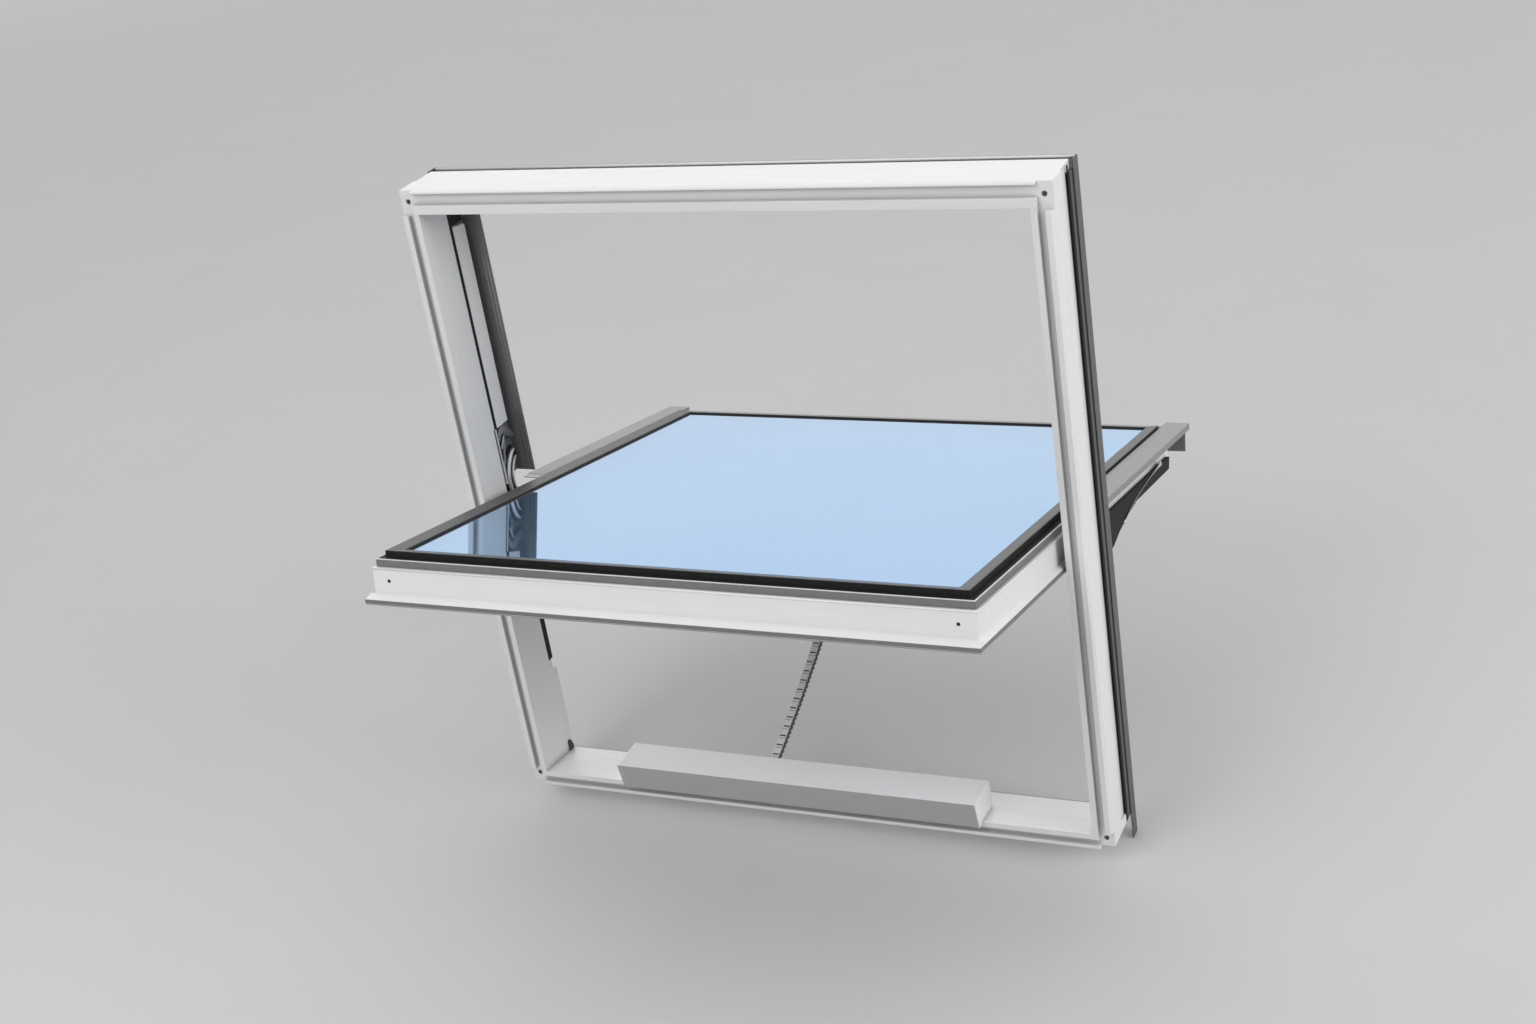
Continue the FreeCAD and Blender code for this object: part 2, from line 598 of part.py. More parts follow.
def chain_bracket():
    """Plate with two ears and a pin on the bottom rail, which the chain's last link turns on."""
    n, s = bracket_pin()
    room_face = -SASH_DEPTH
    half = BRACKET_WIDTH / 2
    x = CHAIN_OFFSET
    plate = box(x - half, x + half, sash_y(room_face - BRACKET_PLATE), sash_y(room_face),
                sash_z(s - BRACKET_HEIGHT / 2), sash_z(s + BRACKET_HEIGHT / 2))
    ear_near = chain_half_width() + BRACKET_EAR_PLAY
    ear_far = ear_near + BRACKET_EAR
    ears = [box(min(x + side * ear_near, x + side * ear_far), max(x + side * ear_near, x + side * ear_far),
                sash_y(n - BRACKET_NOSE), sash_y(room_face - BRACKET_PLATE),
                sash_z(s - BRACKET_EAR_HEIGHT / 2), sash_z(s + BRACKET_EAR_HEIGHT / 2)) for side in (-1, 1)]
    pin = Part.makeCylinder(CHAIN_PIN_RADIUS, 2 * ear_far, vec(x - ear_far, sash_y(n), sash_z(s)), vec(1, 0, 0))
    return plate.fuse(ears + [pin]).removeSplitter()


def flange_outline(edge, reach):
    """Room side flange: a cove out to a square edge."""
    low = -SASH_DEPTH
    return [(edge, low), (edge, low + FLANGE_THICKNESS + FLANGE_COVE), (edge + reach, low + FLANGE_THICKNESS),
            (edge + reach, low)]


def right_stile():
    inner = HALF_SASH - SASH_MEMBER
    upstand = HALF_SASH - GLASS_UPSTAND
    body = stile_prism([(HALF_SASH, 0), (HALF_SASH, -SASH_DEPTH), (inner, -SASH_DEPTH), (inner, -GLASS_SEAT),
                        (upstand, -GLASS_SEAT), (upstand, 0)], SASH_BOTTOM + SASH_MEMBER, SASH_TOP - SASH_MEMBER)
    flange = stile_prism(flange_outline(HALF_SASH, FLANGE_SIDE), FLANGE_START, SASH_TOP - SASH_MEMBER)
    return body.fuse(flange).removeSplitter()


def top_rail():
    inner = SASH_TOP - SASH_MEMBER
    upstand = SASH_TOP - GLASS_UPSTAND
    body = rail_prism([(SASH_TOP, 0), (SASH_TOP, -SASH_DEPTH), (inner, -SASH_DEPTH), (inner, -GLASS_SEAT),
                       (upstand, -GLASS_SEAT), (upstand, 0)], HALF_SASH)
    flange = rail_prism(flange_outline(SASH_TOP, FLANGE_TOP), HALF_SASH + FLANGE_SIDE)
    ends = stile_prism(flange_outline(HALF_SASH, FLANGE_SIDE), inner, SASH_TOP)
    return body.fuse([flange, ends, mirrored(ends)]).removeSplitter()


def bottom_rail():
    inner = SASH_BOTTOM + SASH_MEMBER
    return rail_prism([(SASH_BOTTOM, -GLASS_SEAT), (SASH_BOTTOM, -SASH_DEPTH), (inner, -SASH_DEPTH),
                       (inner, -GLASS_SEAT)], HALF_SASH)


def glass_half_width():
    return HALF_SASH - CAP_INSET - CAP_WIDTH + GLASS_BITE


def glass_top():
    return SASH_TOP - CAP_INSET - CAP_WIDTH + GLASS_BITE


def sheet(n0, n1, half_width, s0, s1):
    return box(-half_width, half_width, sash_y(n0), sash_y(n1), sash_z(s0), sash_z(s1))


def outer_pane():
    return sheet(PANE_TOP - OUTER_PANE, PANE_TOP, glass_half_width(), -BOTTOM_GLASS_LINE - GLASS_BITE, glass_top())


def inner_pane_end():
    return -BOTTOM_GLASS_LINE - GLASS_BITE + GLASS_STEP


def inner_pane():
    return sheet(-GLASS_SEAT, INNER_PANE - GLASS_SEAT, glass_half_width(), inner_pane_end(), glass_top())


def spacer_frame():
    """Bar round the cavity between the panes."""
    low = INNER_PANE - GLASS_SEAT
    half = glass_half_width() - SPACER_INSET
    bottom = inner_pane_end() + SPACER_INSET
    top = glass_top() - SPACER_INSET
    outer = sheet(low, low + GLASS_CAVITY, half, bottom, top)
    hole = sheet(low, low + GLASS_CAVITY, half - SPACER_WIDTH, bottom + SPACER_WIDTH, top - SPACER_WIDTH)
    return outer.cut(hole)


def trim_outline(edge):
    """Grey angle on the sash's edge: an upright leg and a ledge towards the glass."""
    outer = edge - TRIM_INSET
    return [(outer, 0), (outer, TRIM_HEIGHT), (outer - TRIM_LEDGE, TRIM_HEIGHT),
            (outer - TRIM_LEDGE, TRIM_HEIGHT - SHEET), (outer - SHEET, TRIM_HEIGHT - SHEET), (outer - SHEET, 0)]


def cap_outline(edge):
    """Glazing cap: an upright back, a sloping top and a lip on the glass."""
    back = edge - CAP_INSET
    lip = back - CAP_WIDTH
    slope = (CAP_HEIGHT - CAP_INNER_HEIGHT) / CAP_WIDTH
    under = CAP_INNER_HEIGHT - SHEET
    return [(back, 0), (back, CAP_HEIGHT), (lip, CAP_INNER_HEIGHT), (lip, PANE_TOP), (lip + SHEET, PANE_TOP),
            (lip + SHEET, under + SHEET * slope), (back - SHEET, under + (CAP_WIDTH - SHEET) * slope),
            (back - SHEET, 0)]


def corner_wedge(inset, along, up):
    """Triangular block on one side of the diagonal of the sash's upper right corner."""
    reach = SASH_MEMBER
    x = HALF_SASH - inset
    return prism_y([(x, sash_z(SASH_TOP)), (x + along * reach, sash_z(SASH_TOP + up * reach)),
                    (x - reach, sash_z(SASH_TOP - reach))], sash_y(-SASH_DEPTH), sash_y(SASH_DEPTH))


def mitred_side(outline):
    """Right-hand strip whose upper end is cut on the diagonal."""
    strip = stile_prism(outline, -BOTTOM_GLASS_LINE, SASH_TOP)
    return strip.cut(corner_wedge(-MITRE_JOINT, -1, 0))


def mitred_top(outline):
    """Upper strip with both ends cut on the diagonal."""
    strip = rail_prism(outline, HALF_SASH)
    wedge = corner_wedge(0, 0, -1)
    return strip.cut([wedge, mirrored(wedge)])


def side_trim():
    return mitred_side(trim_outline(HALF_SASH))


def top_trim():
    return mitred_top(trim_outline(SASH_TOP))


def side_cap():
    return mitred_side(cap_outline(HALF_SASH))


def top_cap():
    return mitred_top(cap_outline(SASH_TOP))


def bottom_cladding():
    """Sheet over the glass's lower edge, bent down past the glass and folded under the sill."""
    start = -BOTTOM_GLASS_LINE
    end = -BOTTOM_CLADDING_END
    bend = start - GLASS_BITE - BOTTOM_BEND_PLAY
    over = rail_prism([(start, PANE_TOP), (start, PANE_TOP + SHEET), (bend, PANE_TOP + SHEET),
                       (end, BOTTOM_EDGE_HEIGHT), (end, -BOTTOM_LEG_DROP), (end + SHEET, -BOTTOM_LEG_DROP),
                       (end + SHEET, BOTTOM_EDGE_HEIGHT - SHEET), (bend, PANE_TOP)], HALF_SASH - CAP_INSET)
    under_cover = TRIM_HEIGHT - COVER_JOINT
    leg = rail_prism([(end, -BOTTOM_LEG_DROP), (end, under_cover), (end + SHEET, under_cover),
                      (end + SHEET, -BOTTOM_LEG_DROP)], HALF_WIDTH - BOTTOM_LEG_INSET)
    return over.fuse(leg).removeSplitter()


def lower_cover():
    """Wide outside cover over the lower half of the side gap."""
    top = COVER_PLATE_HEIGHT
    under = top - SHEET
    inner = HALF_SASH - COVER_PLATE_INSET
    outer = inner + COVER_PLATE_WIDTH
    end = SASH_BOTTOM - COVER_OVERHANG
    channel = stile_prism([(inner, TRIM_HEIGHT), (inner, top), (outer, top), (outer, under), (inner + SHEET, under),
                           (inner + SHEET, TRIM_HEIGHT)], end, -COVER_TOP_END)
    fold = stile_prism([(outer - SHEET, under), (outer, under), (outer, top - COVER_FOLD),
                        (outer - SHEET, top - COVER_FOLD)], end, -COVER_TOP_END - COVER_FOLD)
    end_plate = stile_prism([(inner, TRIM_HEIGHT), (inner, top), (outer, top), (outer, top - COVER_FOLD)],
                            end, end + SHEET)
    return channel.fuse([fold, end_plate]).removeSplitter()


def lower_seal():
    """Rubber strip on the outer side of the stile's lower half, deeper towards the hinge."""
    high = -LOWER_SEAL_OUT
    low = high - LOWER_SEAL_HEIGHT
    far = SASH_BOTTOM + LOWER_SEAL_PLAY
    outline = [(high, -LOWER_SEAL_START), (low, -LOWER_SEAL_START), (low + LOWER_SEAL_TAPER, far + LOWER_SEAL_TAPER),
               (high, far)]
    return prism_x([(sash_y(n), sash_z(s)) for n, s in outline], HALF_SASH, HALF_SASH + LOWER_SEAL_PROUD)


def both_sides(name, shape):
    """A right-hand piece and its mirror image."""
    return {"right_" + name: shape, "left_" + name: mirrored(shape)}


def frame_pieces():
    pieces = {"head": head(), "head_moulding": head_moulding(), "sill": sill(), "head_cladding": head_cladding(),
              "sill_cladding": sill_cladding(),
              "actuator_housing": actuator_housing(), "chain_outlet": chain_outlet(), "drive_chain": drive_chain()}
    pieces.update(both_sides("jamb", right_jamb()))
    pieces.update(both_sides("upper_stop", upper_stop()))
    pieces.update(both_sides("frame_seal", frame_seal()))
    pieces.update(both_sides("side_cladding", side_cladding()))
    pieces.update(both_sides("upper_cover", upper_cover()))
    pieces.update(both_sides("hinge_plate", hinge_plate()))
    pieces.update(both_sides("hinge_rails", hinge_rails()))
    pieces.update(both_sides("hinge_cap", hinge_cap()))
    return pieces


def sash_pieces():
    pieces = {"sash_top_rail": top_rail(), "sash_bottom_rail": bottom_rail(), "outer_pane": outer_pane(),
              "inner_pane": inner_pane(), "spacer_frame": spacer_frame(), "top_trim": top_trim(),
              "top_glazing_cap": top_cap(), "bottom_cladding": bottom_cladding(), "chain_bracket": chain_bracket()}
    pieces.update(both_sides("sash_stile", right_stile()))
    pieces.update(both_sides("trim", side_trim()))
    pieces.update(both_sides("glazing_cap", side_cap()))
    pieces.update(both_sides("lower_cover", lower_cover()))
    pieces.update(both_sides("lower_seal", lower_seal()))
    pieces.update(both_sides("hinge_arm", hinge_arm()))
    return {name: opened(shape) for name, shape in pieces.items()}


def main():
    os.makedirs("parts", exist_ok=True)
    for name, shape in {**frame_pieces(), **sash_pieces()}.items():
        shape.exportStep("parts/" + name + ".step")


main()
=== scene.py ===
import math

import bmesh
import bpy
from mathutils import Matrix, Vector


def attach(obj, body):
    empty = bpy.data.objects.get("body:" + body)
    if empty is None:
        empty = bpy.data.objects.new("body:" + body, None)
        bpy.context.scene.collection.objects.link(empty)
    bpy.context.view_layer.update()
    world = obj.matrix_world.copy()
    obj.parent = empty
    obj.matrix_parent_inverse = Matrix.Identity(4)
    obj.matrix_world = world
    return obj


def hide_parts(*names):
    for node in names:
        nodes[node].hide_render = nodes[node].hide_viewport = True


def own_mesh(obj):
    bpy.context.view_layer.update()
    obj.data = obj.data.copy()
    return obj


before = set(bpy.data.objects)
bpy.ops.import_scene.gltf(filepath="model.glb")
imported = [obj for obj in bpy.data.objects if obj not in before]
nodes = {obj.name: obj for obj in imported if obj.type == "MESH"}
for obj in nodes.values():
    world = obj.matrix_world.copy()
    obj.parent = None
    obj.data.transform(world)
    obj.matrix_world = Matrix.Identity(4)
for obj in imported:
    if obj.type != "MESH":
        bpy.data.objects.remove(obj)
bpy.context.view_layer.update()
MM = 0.001
SIDES = {"left_": -1, "right_": 1}

# Camera fitted to the photograph, in the part's frame
CAMERA_PLACE = (1.5072, -2.9155, 2.1447)
CAMERA_PITCH = math.radians(25.472)
CAMERA_AZIMUTH = math.radians(27.428)
CAMERA_ROLL = math.radians(-9.456)
FOCAL_LENGTH = 49.865
SENSOR_WIDTH = 36.0

# Sizes that the solids have, millimetres
PIVOT_Y = 99.0
PIVOT_Z = 590.0
OPEN_ANGLE = math.radians(78.0)
SASH_FACE_Y = 64.0
ROOM_PLANE = -49.0
FLOOR_LEVEL = -50.0
HALF_WIDTH = 570.0
HALF_SASH = 521.0
SASH_TOP = 527.0

ACROSS = Vector((1, 0, 0))
UP_SASH = Vector((0, -math.sin(OPEN_ANGLE), math.cos(OPEN_ANGLE)))
OUT_SASH = Vector((0, math.cos(OPEN_ANGLE), math.sin(OPEN_ANGLE)))


# Places, in metres in the part's frame

def frame_point(x, v, z):
    """A point of the frame: v is the depth from the corner blocks' room side."""
    return Vector((x, ROOM_PLANE + v, z)) * MM


def sash_point(x, s, n):
    """A point of the open sash: s up from the pivot, n out from the wood's outer face."""
    away = SASH_FACE_Y + n - PIVOT_Y
    y = PIVOT_Y + away * math.cos(OPEN_ANGLE) - s * math.sin(OPEN_ANGLE)
    z = PIVOT_Z + away * math.sin(OPEN_ANGLE) + s * math.cos(OPEN_ANGLE)
    return Vector((x, y, z)) * MM


def pivot_point(x, radius, angle):
    """A point about the pivot axis: angle 0 towards the room, 90 straight up."""
    turn = math.radians(angle)
    return Vector((x, PIVOT_Y - radius * math.cos(turn), PIVOT_Z + radius * math.sin(turn))) * MM


# Mesh code

WELD_REACH = 0.00001
SHARP_EDGE = math.radians(32)


def piece(name, points, faces, material, body, smooth=False):
    mesh = bpy.data.meshes.new(name)
    mesh.from_pydata([tuple(point) for point in points], [], faces)
    built = bmesh.new()
    built.from_mesh(mesh)
    bmesh.ops.recalc_face_normals(built, faces=built.faces)
    built.to_mesh(mesh)
    built.free()
    mesh.materials.append(material)
    for polygon in mesh.polygons:
        polygon.use_smooth = smooth
    made = bpy.data.objects.new(name, mesh)
    bpy.context.scene.collection.objects.link(made)
    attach(made, body)
    return made


def loft_mesh(rings, cyclic=False):
    """Points and faces of a closed skin through rings that have the same number of points."""
    size = len(rings[0])
    points = [point for ring in rings for point in ring]
    spans = len(rings) if cyclic else len(rings) - 1
    faces = []
    for k in range(spans):
        here, there = k * size, (k + 1) % len(rings) * size
        for i in range(size):
            j = (i + 1) % size
            faces.append((here + i, here + j, there + j, there + i))
    if not cyclic:
        faces.append(tuple(range(size)))
        faces.append(tuple(range((len(rings) - 1) * size, len(rings) * size)))
    return points, faces


def loft(name, rings, material, body, cyclic=False, smooth=False):
    points, faces = loft_mesh(rings, cyclic)
    return piece(name, points, faces, material, body, smooth)


def joined(name, meshes, material, body, smooth=False):
    """One piece from several (points, faces)."""
    points, faces = [], []
    for some_points, some_faces in meshes:
        start = len(points)
        points += some_points
        faces += [tuple(start + i for i in face) for face in some_faces]
    return piece(name, points, faces, material, body, smooth)


def soften(made, width, segments=2, weld=False):
    """Rounded edges, with the flat faces kept flat in the shading."""
    if weld:
        made.modifiers.new("weld", "WELD").merge_threshold = WELD_REACH
    edge = made.modifiers.new("bevel", "BEVEL")
    edge.width = width * MM
    edge.segments = segments
    edge.limit_method = "ANGLE"
    edge.angle_limit = SHARP_EDGE
    edge.harden_normals = False
    made.modifiers.new("normals", "WEIGHTED_NORMAL")
    return made


def turns(sweep, count):
    """Angles in equal steps from 0 up to a sweep."""
    return [sweep * k / count for k in range(count + 1)]


def circle(centre, across, other, radius, count):
    """Points round a centre, in the plane of two directions."""
    return [centre + (across * math.cos(t) + other * math.sin(t)) * radius * MM
            for t in turns(2 * math.pi, count)[:-1]]


def disc_rings(centre, axis, across, profile, count=20):
    """Rings of a turned shape: profile holds (radius, height along the axis)."""
    axis = axis.normalized()
    across = (across - axis * across.dot(axis)).normalized()
    other = axis.cross(across)
    return [circle(centre + axis * height * MM, across, other, radius, count) for radius, height in profile]


def tube(path, radius, count=8):
    """Round wire along a row of points."""
    rings = []
    last = len(path) - 1
    for k, centre in enumerate(path):
        ahead = (path[min(k + 1, last)] - path[max(k - 1, 0)]).normalized()
        across = (across - ahead * across.dot(ahead) if k else ahead.orthogonal()).normalized()
        rings.append(circle(centre, across, ahead.cross(across), radius, count))
    return loft_mesh(rings)


def smoothed(points, rounds=2):
    """Corner-cut copy of an open row of points."""
    for _ in range(rounds):
        finer = [points[0]]
        for a, b in zip(points, points[1:]):
            finer.append(tuple(p * 0.75 + q * 0.25 for p, q in zip(a, b)))
            finer.append(tuple(p * 0.25 + q * 0.75 for p, q in zip(a, b)))
        points = finer + [points[-1]]
    return points


# Materials

RAMP_ENDS = (0.3, 0.7)
RELIEF_DEPTH = 0.0003
# Painted shade in creases and hollows: an occlusion mask darkens the colour there
CREASE_SHADE_SAMPLES = 6
CREASE_SHADE_RANGE = (0.30, 0.80)
# Painted shade on faces turned to the front and down: their direction, and the range over which the colour
# darkens
FRONT_AND_DOWN = (0.0, -0.98, -0.20)
FRONT_SHADE_RANGE = (0.55, 0.95)


def new_material(name):
    material = bpy.data.materials.new(name)
    material.use_nodes = True
    tree = material.node_tree
    shader = tree.nodes["Principled BSDF"]
    return material, tree, shader


def add_node(tree, kind, **values):
    node = tree.nodes.new(kind)
    for key, value in values.items():
        if key in node.inputs:
            node.inputs[key].default_value = value
        else:
            setattr(node, key, value)
    return node


def object_coordinates(tree, stretch=(1, 1, 1)):
    place = add_node(tree, "ShaderNodeTexCoord")
    mapping = add_node(tree, "ShaderNodeMapping", Scale=stretch)
    tree.links.new(place.outputs["Object"], mapping.inputs["Vector"])
    return mapping.outputs["Vector"]


def noise(tree, vector, scale, detail=4.0):
    node = add_node(tree, "ShaderNodeTexNoise", Scale=scale, Detail=detail, Roughness=0.55)
    tree.links.new(vector, node.inputs["Vector"])
    return node.outputs["Fac"]


def ramp(tree, factor, colours):
    """Blend from one colour to another over the middle of a factor's range."""
    node = tree.nodes.new("ShaderNodeValToRGB")
    for k in (0, 1):
        node.color_ramp.elements[k].position = RAMP_ENDS[k]
        node.color_ramp.elements[k].color = (*colours[k], 1)
    tree.links.new(factor, node.inputs["Fac"])
    return node.outputs["Color"]


def map_range(tree, value, source, target, interpolation="SMOOTHSTEP"):
    node = add_node(tree, "ShaderNodeMapRange", interpolation_type=interpolation)
    node.inputs["From Min"].default_value, node.inputs["From Max"].default_value = source
    node.inputs["To Min"].default_value, node.inputs["To Max"].default_value = target
    tree.links.new(value, node.inputs["Value"])
    return node.outputs["Result"]


def facing(tree, direction, coordinate):
    """How far a texture coordinate points along a direction."""
    place = add_node(tree, "ShaderNodeTexCoord")
    node = add_node(tree, "ShaderNodeVectorMath", operation="DOT_PRODUCT")
    node.inputs[1].default_value = direction
    tree.links.new(place.outputs[coordinate], node.inputs[0])
    return node.outputs["Value"]


def scaled(tree, colour, factor):
    node = add_node(tree, "ShaderNodeVectorMath", operation="SCALE")
    tree.links.new(colour, node.inputs[0])
    tree.links.new(factor, node.inputs["Scale"])
    return node.outputs["Vector"]


def bump(tree, shader, height, strength):
    node = add_node(tree, "ShaderNodeBump", Strength=strength, Distance=RELIEF_DEPTH)
    tree.links.new(height, node.inputs["Height"])
    tree.links.new(node.outputs["Normal"], shader.inputs["Normal"])


def surface(name, colours, roughness, stretch=(1, 1, 1), scale=90.0, relief=0.1, metallic=0.0, specular=0.5,
            crease_shade=1.0, crease_shade_reach=0.02, painted_front_shade=1.0):
    """A finish with a little colour and gloss variation and a fine relief; it can also darken its creases and
    hollows, and its faces turned to the front and down, as painted shade.
    """
    material, tree, shader = new_material(name)
    vector = object_coordinates(tree, stretch)
    coarse = noise(tree, vector, scale)
    fine = noise(tree, vector, scale * 6, detail=6.0)
    colour = ramp(tree, coarse, colours)
    # Painted shade: the colour is darkened in creases and hollows
    if crease_shade < 1.0:
        crease_occlusion = add_node(tree, "ShaderNodeAmbientOcclusion", Distance=crease_shade_reach, samples=CREASE_SHADE_SAMPLES)
        colour = scaled(tree, colour, map_range(tree, crease_occlusion.outputs["AO"], CREASE_SHADE_RANGE, (crease_shade, 1.0)))
    # Painted shade: faces turned to the front and down get a darker colour
    if painted_front_shade < 1.0:
        toward = facing(tree, FRONT_AND_DOWN, "Normal")
        colour = scaled(tree, colour, map_range(tree, toward, FRONT_SHADE_RANGE, (1.0, painted_front_shade)))
    tree.links.new(colour, shader.inputs["Base Color"])
    tree.links.new(map_range(tree, fine, (0.0, 1.0), roughness, "LINEAR"), shader.inputs["Roughness"])
    bump(tree, shader, fine, relief)
    shader.inputs["Metallic"].default_value = metallic
    shader.inputs["Specular IOR Level"].default_value = specular
    return material


WHITE = ((0.80, 0.80, 0.805), (0.84, 0.84, 0.845))
# Painted light: the stops' white is a brighter copy of the same paint
LIT_STOP_WHITE = ((0.86, 0.86, 0.865), (0.90, 0.90, 0.905))
GRAIN = 0.12


def white_paint(name, grain, colours=WHITE, crease_shade=0.60):
    """Satin paint with faint marks along the grain, and painted shade in its creases."""
    return surface(name, colours, (0.28, 0.42), grain, scale=60.0, crease_shade=crease_shade, crease_shade_reach=0.025)


def sheet(name, colours, roughness):
    """Lacquered metal sheet."""
    return surface(name, colours, roughness, relief=0.08, metallic=0.3)


def glass(name, tint, mirror, cover):
    """Pane of coated glass: part mirror, part tint, and the rest passes."""
    material, tree, shader = new_material(name)
    broad = noise(tree, object_coordinates(tree), scale=1.4, detail=1.0)
    tree.links.new(ramp(tree, broad, tint), shader.inputs["Base Color"])
    shader.inputs["Roughness"].default_value = 0.02
    shader.inputs["Metallic"].default_value = mirror
    shader.inputs["Alpha"].default_value = cover
    return material


paint_across = white_paint("white_paint_across", (GRAIN, 1, 1))
paint_up = white_paint("white_paint_up", (1, 1, GRAIN))
# Painted light: a brighter copy of the white paint for the stops, without the painted crease shade
lit_stop_paint = white_paint("white_paint_stop", (1, 1, GRAIN), LIT_STOP_WHITE, crease_shade=1.0)
paint_along = white_paint("white_paint_along", (1, GRAIN, 1))

grey_sheet = sheet("grey_cladding", ((0.182, 0.181, 0.183), (0.212, 0.211, 0.213)), (0.34, 0.48))
pale_sheet = sheet("pale_cladding", ((0.265, 0.262, 0.263), (0.30, 0.297, 0.298)), (0.36, 0.48))
mid_sheet = sheet("mid_cladding", ((0.205, 0.204, 0.205), (0.232, 0.231, 0.232)), (0.36, 0.48))
dark_sheet = sheet("dark_cladding", ((0.092, 0.092, 0.093), (0.115, 0.115, 0.116)), (0.34, 0.48))
# Painted highlight: a near-white copy of the sheet for thin edges, beads and rims that catch the light
highlight_sheet = sheet("painted_highlight_cladding", ((0.74, 0.735, 0.735), (0.80, 0.795, 0.795)), (0.30, 0.42))

rubber = surface("black_rubber", ((0.010, 0.010, 0.011), (0.018, 0.018, 0.019)), (0.55, 0.75),
                 scale=160.0, relief=0.2, specular=0.2)
dark_plastic = surface("dark_plastic", ((0.030, 0.030, 0.032), (0.044, 0.044, 0.046)), (0.40, 0.56),
                       scale=220.0, relief=0.2)
# The actuator's plastic is painted darker on faces turned to the front and down: painted shade
pale_plastic = surface("pale_plastic", ((0.835, 0.83, 0.845), (0.865, 0.86, 0.875)), (0.38, 0.50),
                       scale=300.0, relief=0.2, painted_front_shade=0.52)

zinc = surface("zinc", ((0.66, 0.66, 0.67), (0.76, 0.76, 0.77)), (0.34, 0.48), scale=120.0, metallic=0.55)
hinge_base = surface("hinge_base", ((0.012, 0.012, 0.013), (0.030, 0.030, 0.031)), (0.35, 0.55),
                     scale=140.0, relief=0.3, metallic=0.4)
# Painted light and shade: chain_steel is painted nearly white, as lit faces look, with painted shade in its
# narrow gaps; the dark copy stands for faces in shade
chain_metal = surface("chain_steel", ((0.90, 0.90, 0.89), (0.96, 0.96, 0.95)), (0.26, 0.40),
                      scale=200.0, metallic=0.1, crease_shade=0.35, crease_shade_reach=0.003)
chain_shade_steel = surface("chain_steel_painted_shade", ((0.060, 0.060, 0.062), (0.10, 0.10, 0.102)), (0.35, 0.50),
                     scale=200.0, metallic=0.4)

coated_glass = glass("coated_glass", ((0.385, 0.615, 0.915), (0.415, 0.645, 0.935)), mirror=0.90, cover=0.87)
clear_glass = glass("clear_glass", ((0.86, 0.90, 0.91), (0.90, 0.93, 0.94)), mirror=0.3, cover=0.10)


# Finish of the solids

def paint(material, *names):
    for name in names:
        slots = nodes[name].data.materials
        slots.clear()
        slots.append(material)


def both(*names):
    return [side + name for side in SIDES for name in names]


paint(paint_across, "head", "head_moulding", "sill", "sash_top_rail", "sash_bottom_rail")
paint(paint_up, *both("jamb"))
paint(lit_stop_paint, *both("upper_stop"))
paint(paint_along, *both("sash_stile"))
paint(rubber, *both("frame_seal", "lower_seal"))
paint(grey_sheet, "sill_cladding", "top_trim", "bottom_cladding", *both("trim"))
paint(dark_sheet, "top_glazing_cap", *both("side_cladding", "glazing_cap"))
paint(mid_sheet, *both("upper_cover"))
paint(pale_sheet, "head_cladding", *both("lower_cover"))
paint(zinc, *both("hinge_rails", "hinge_arm"))
paint(hinge_base, *both("hinge_plate"))
paint(dark_plastic, "chain_outlet", "spacer_frame", *both("hinge_cap"))
paint(pale_plastic, "actuator_housing")
paint(chain_metal, "drive_chain", "chain_bracket")
paint(coated_glass, "outer_pane")
paint(clear_glass, "inner_pane")

WOOD_ROUND = 0.7
SHEET_ROUND = 0.6
HOUSING_ROUND = 2.2
BRACKET_ROUND = 0.4
for wood in ("head", "head_moulding", "sill", "sash_top_rail", "sash_bottom_rail",
             *both("jamb", "sash_stile")):
    soften(nodes[wood], WOOD_ROUND, weld=True)
for folded in ("head_cladding", "sill_cladding", "top_trim", "top_glazing_cap", "bottom_cladding",
               *both("side_cladding", "upper_cover", "trim", "glazing_cap", "lower_cover", "upper_stop")):
    soften(nodes[folded], SHEET_ROUND, weld=True)
soften(nodes["actuator_housing"], HOUSING_ROUND, segments=3, weld=True)
soften(nodes["chain_bracket"], BRACKET_ROUND, weld=True)


# Strips and fixings on the sash

# Edges that strips follow: half width, then the top and bottom ends from the pivot
GLASS_EDGE = (HALF_SASH - 40.0, SASH_TOP - 40.0, -560.0)
CAP_EDGE = (HALF_SASH - 17.5, SASH_TOP - 17.5, -556.0)
TRIM_EDGE = (HALF_SASH - 5.0, SASH_TOP - 5.0, -557.0)
NOSING_EDGE = (HALF_SASH, SASH_TOP, -20.0)
FLANGE_EDGE = (HALF_SASH + 8.5, SASH_TOP + 17.0, 72.0)
FLANGE_SEAT = (HALF_SASH + 5.0, SASH_TOP + 13.0, 75.0)
NOSING_RADIUS = 1.9
NOSING_CENTRE = (0.6, -2.0)

FILL_SECTION = ((499.0, -9.2), (520.9, -9.2), (520.9, -0.5), (520.4, -0.1), (499.0, -0.1))
FILL_SPANS = {"top": (466.0, 508.0), "bottom": (-557.6, -497.0)}

SCREW_X = HALF_WIDTH - 14.0
SCREW_HEIGHTS = (16.0, 1160.0)
SCREW_PROFILE = ((4.4, -0.4), (4.4, 0.2), (3.9, 0.45), (3.0, 0.4), (2.2, -1.4), (0.6, -1.6))
# Holes in the top rail: a black disc stands for the painted shade inside each, and a near-white ring for the
# painted highlight on its countersink
HOLE_X = HALF_SASH - 30.0
HOLE_LEVEL = -22.0
HOLE_SHADE_PROFILE = ((2.9, -0.3), (2.9, 0.12), (2.3, 0.3), (0.3, 0.34))
HOLE_RIM_HIGHLIGHT_PROFILE = ((4.2, -0.2), (4.0, 0.15), (3.4, 0.25), (2.8, 0.0))


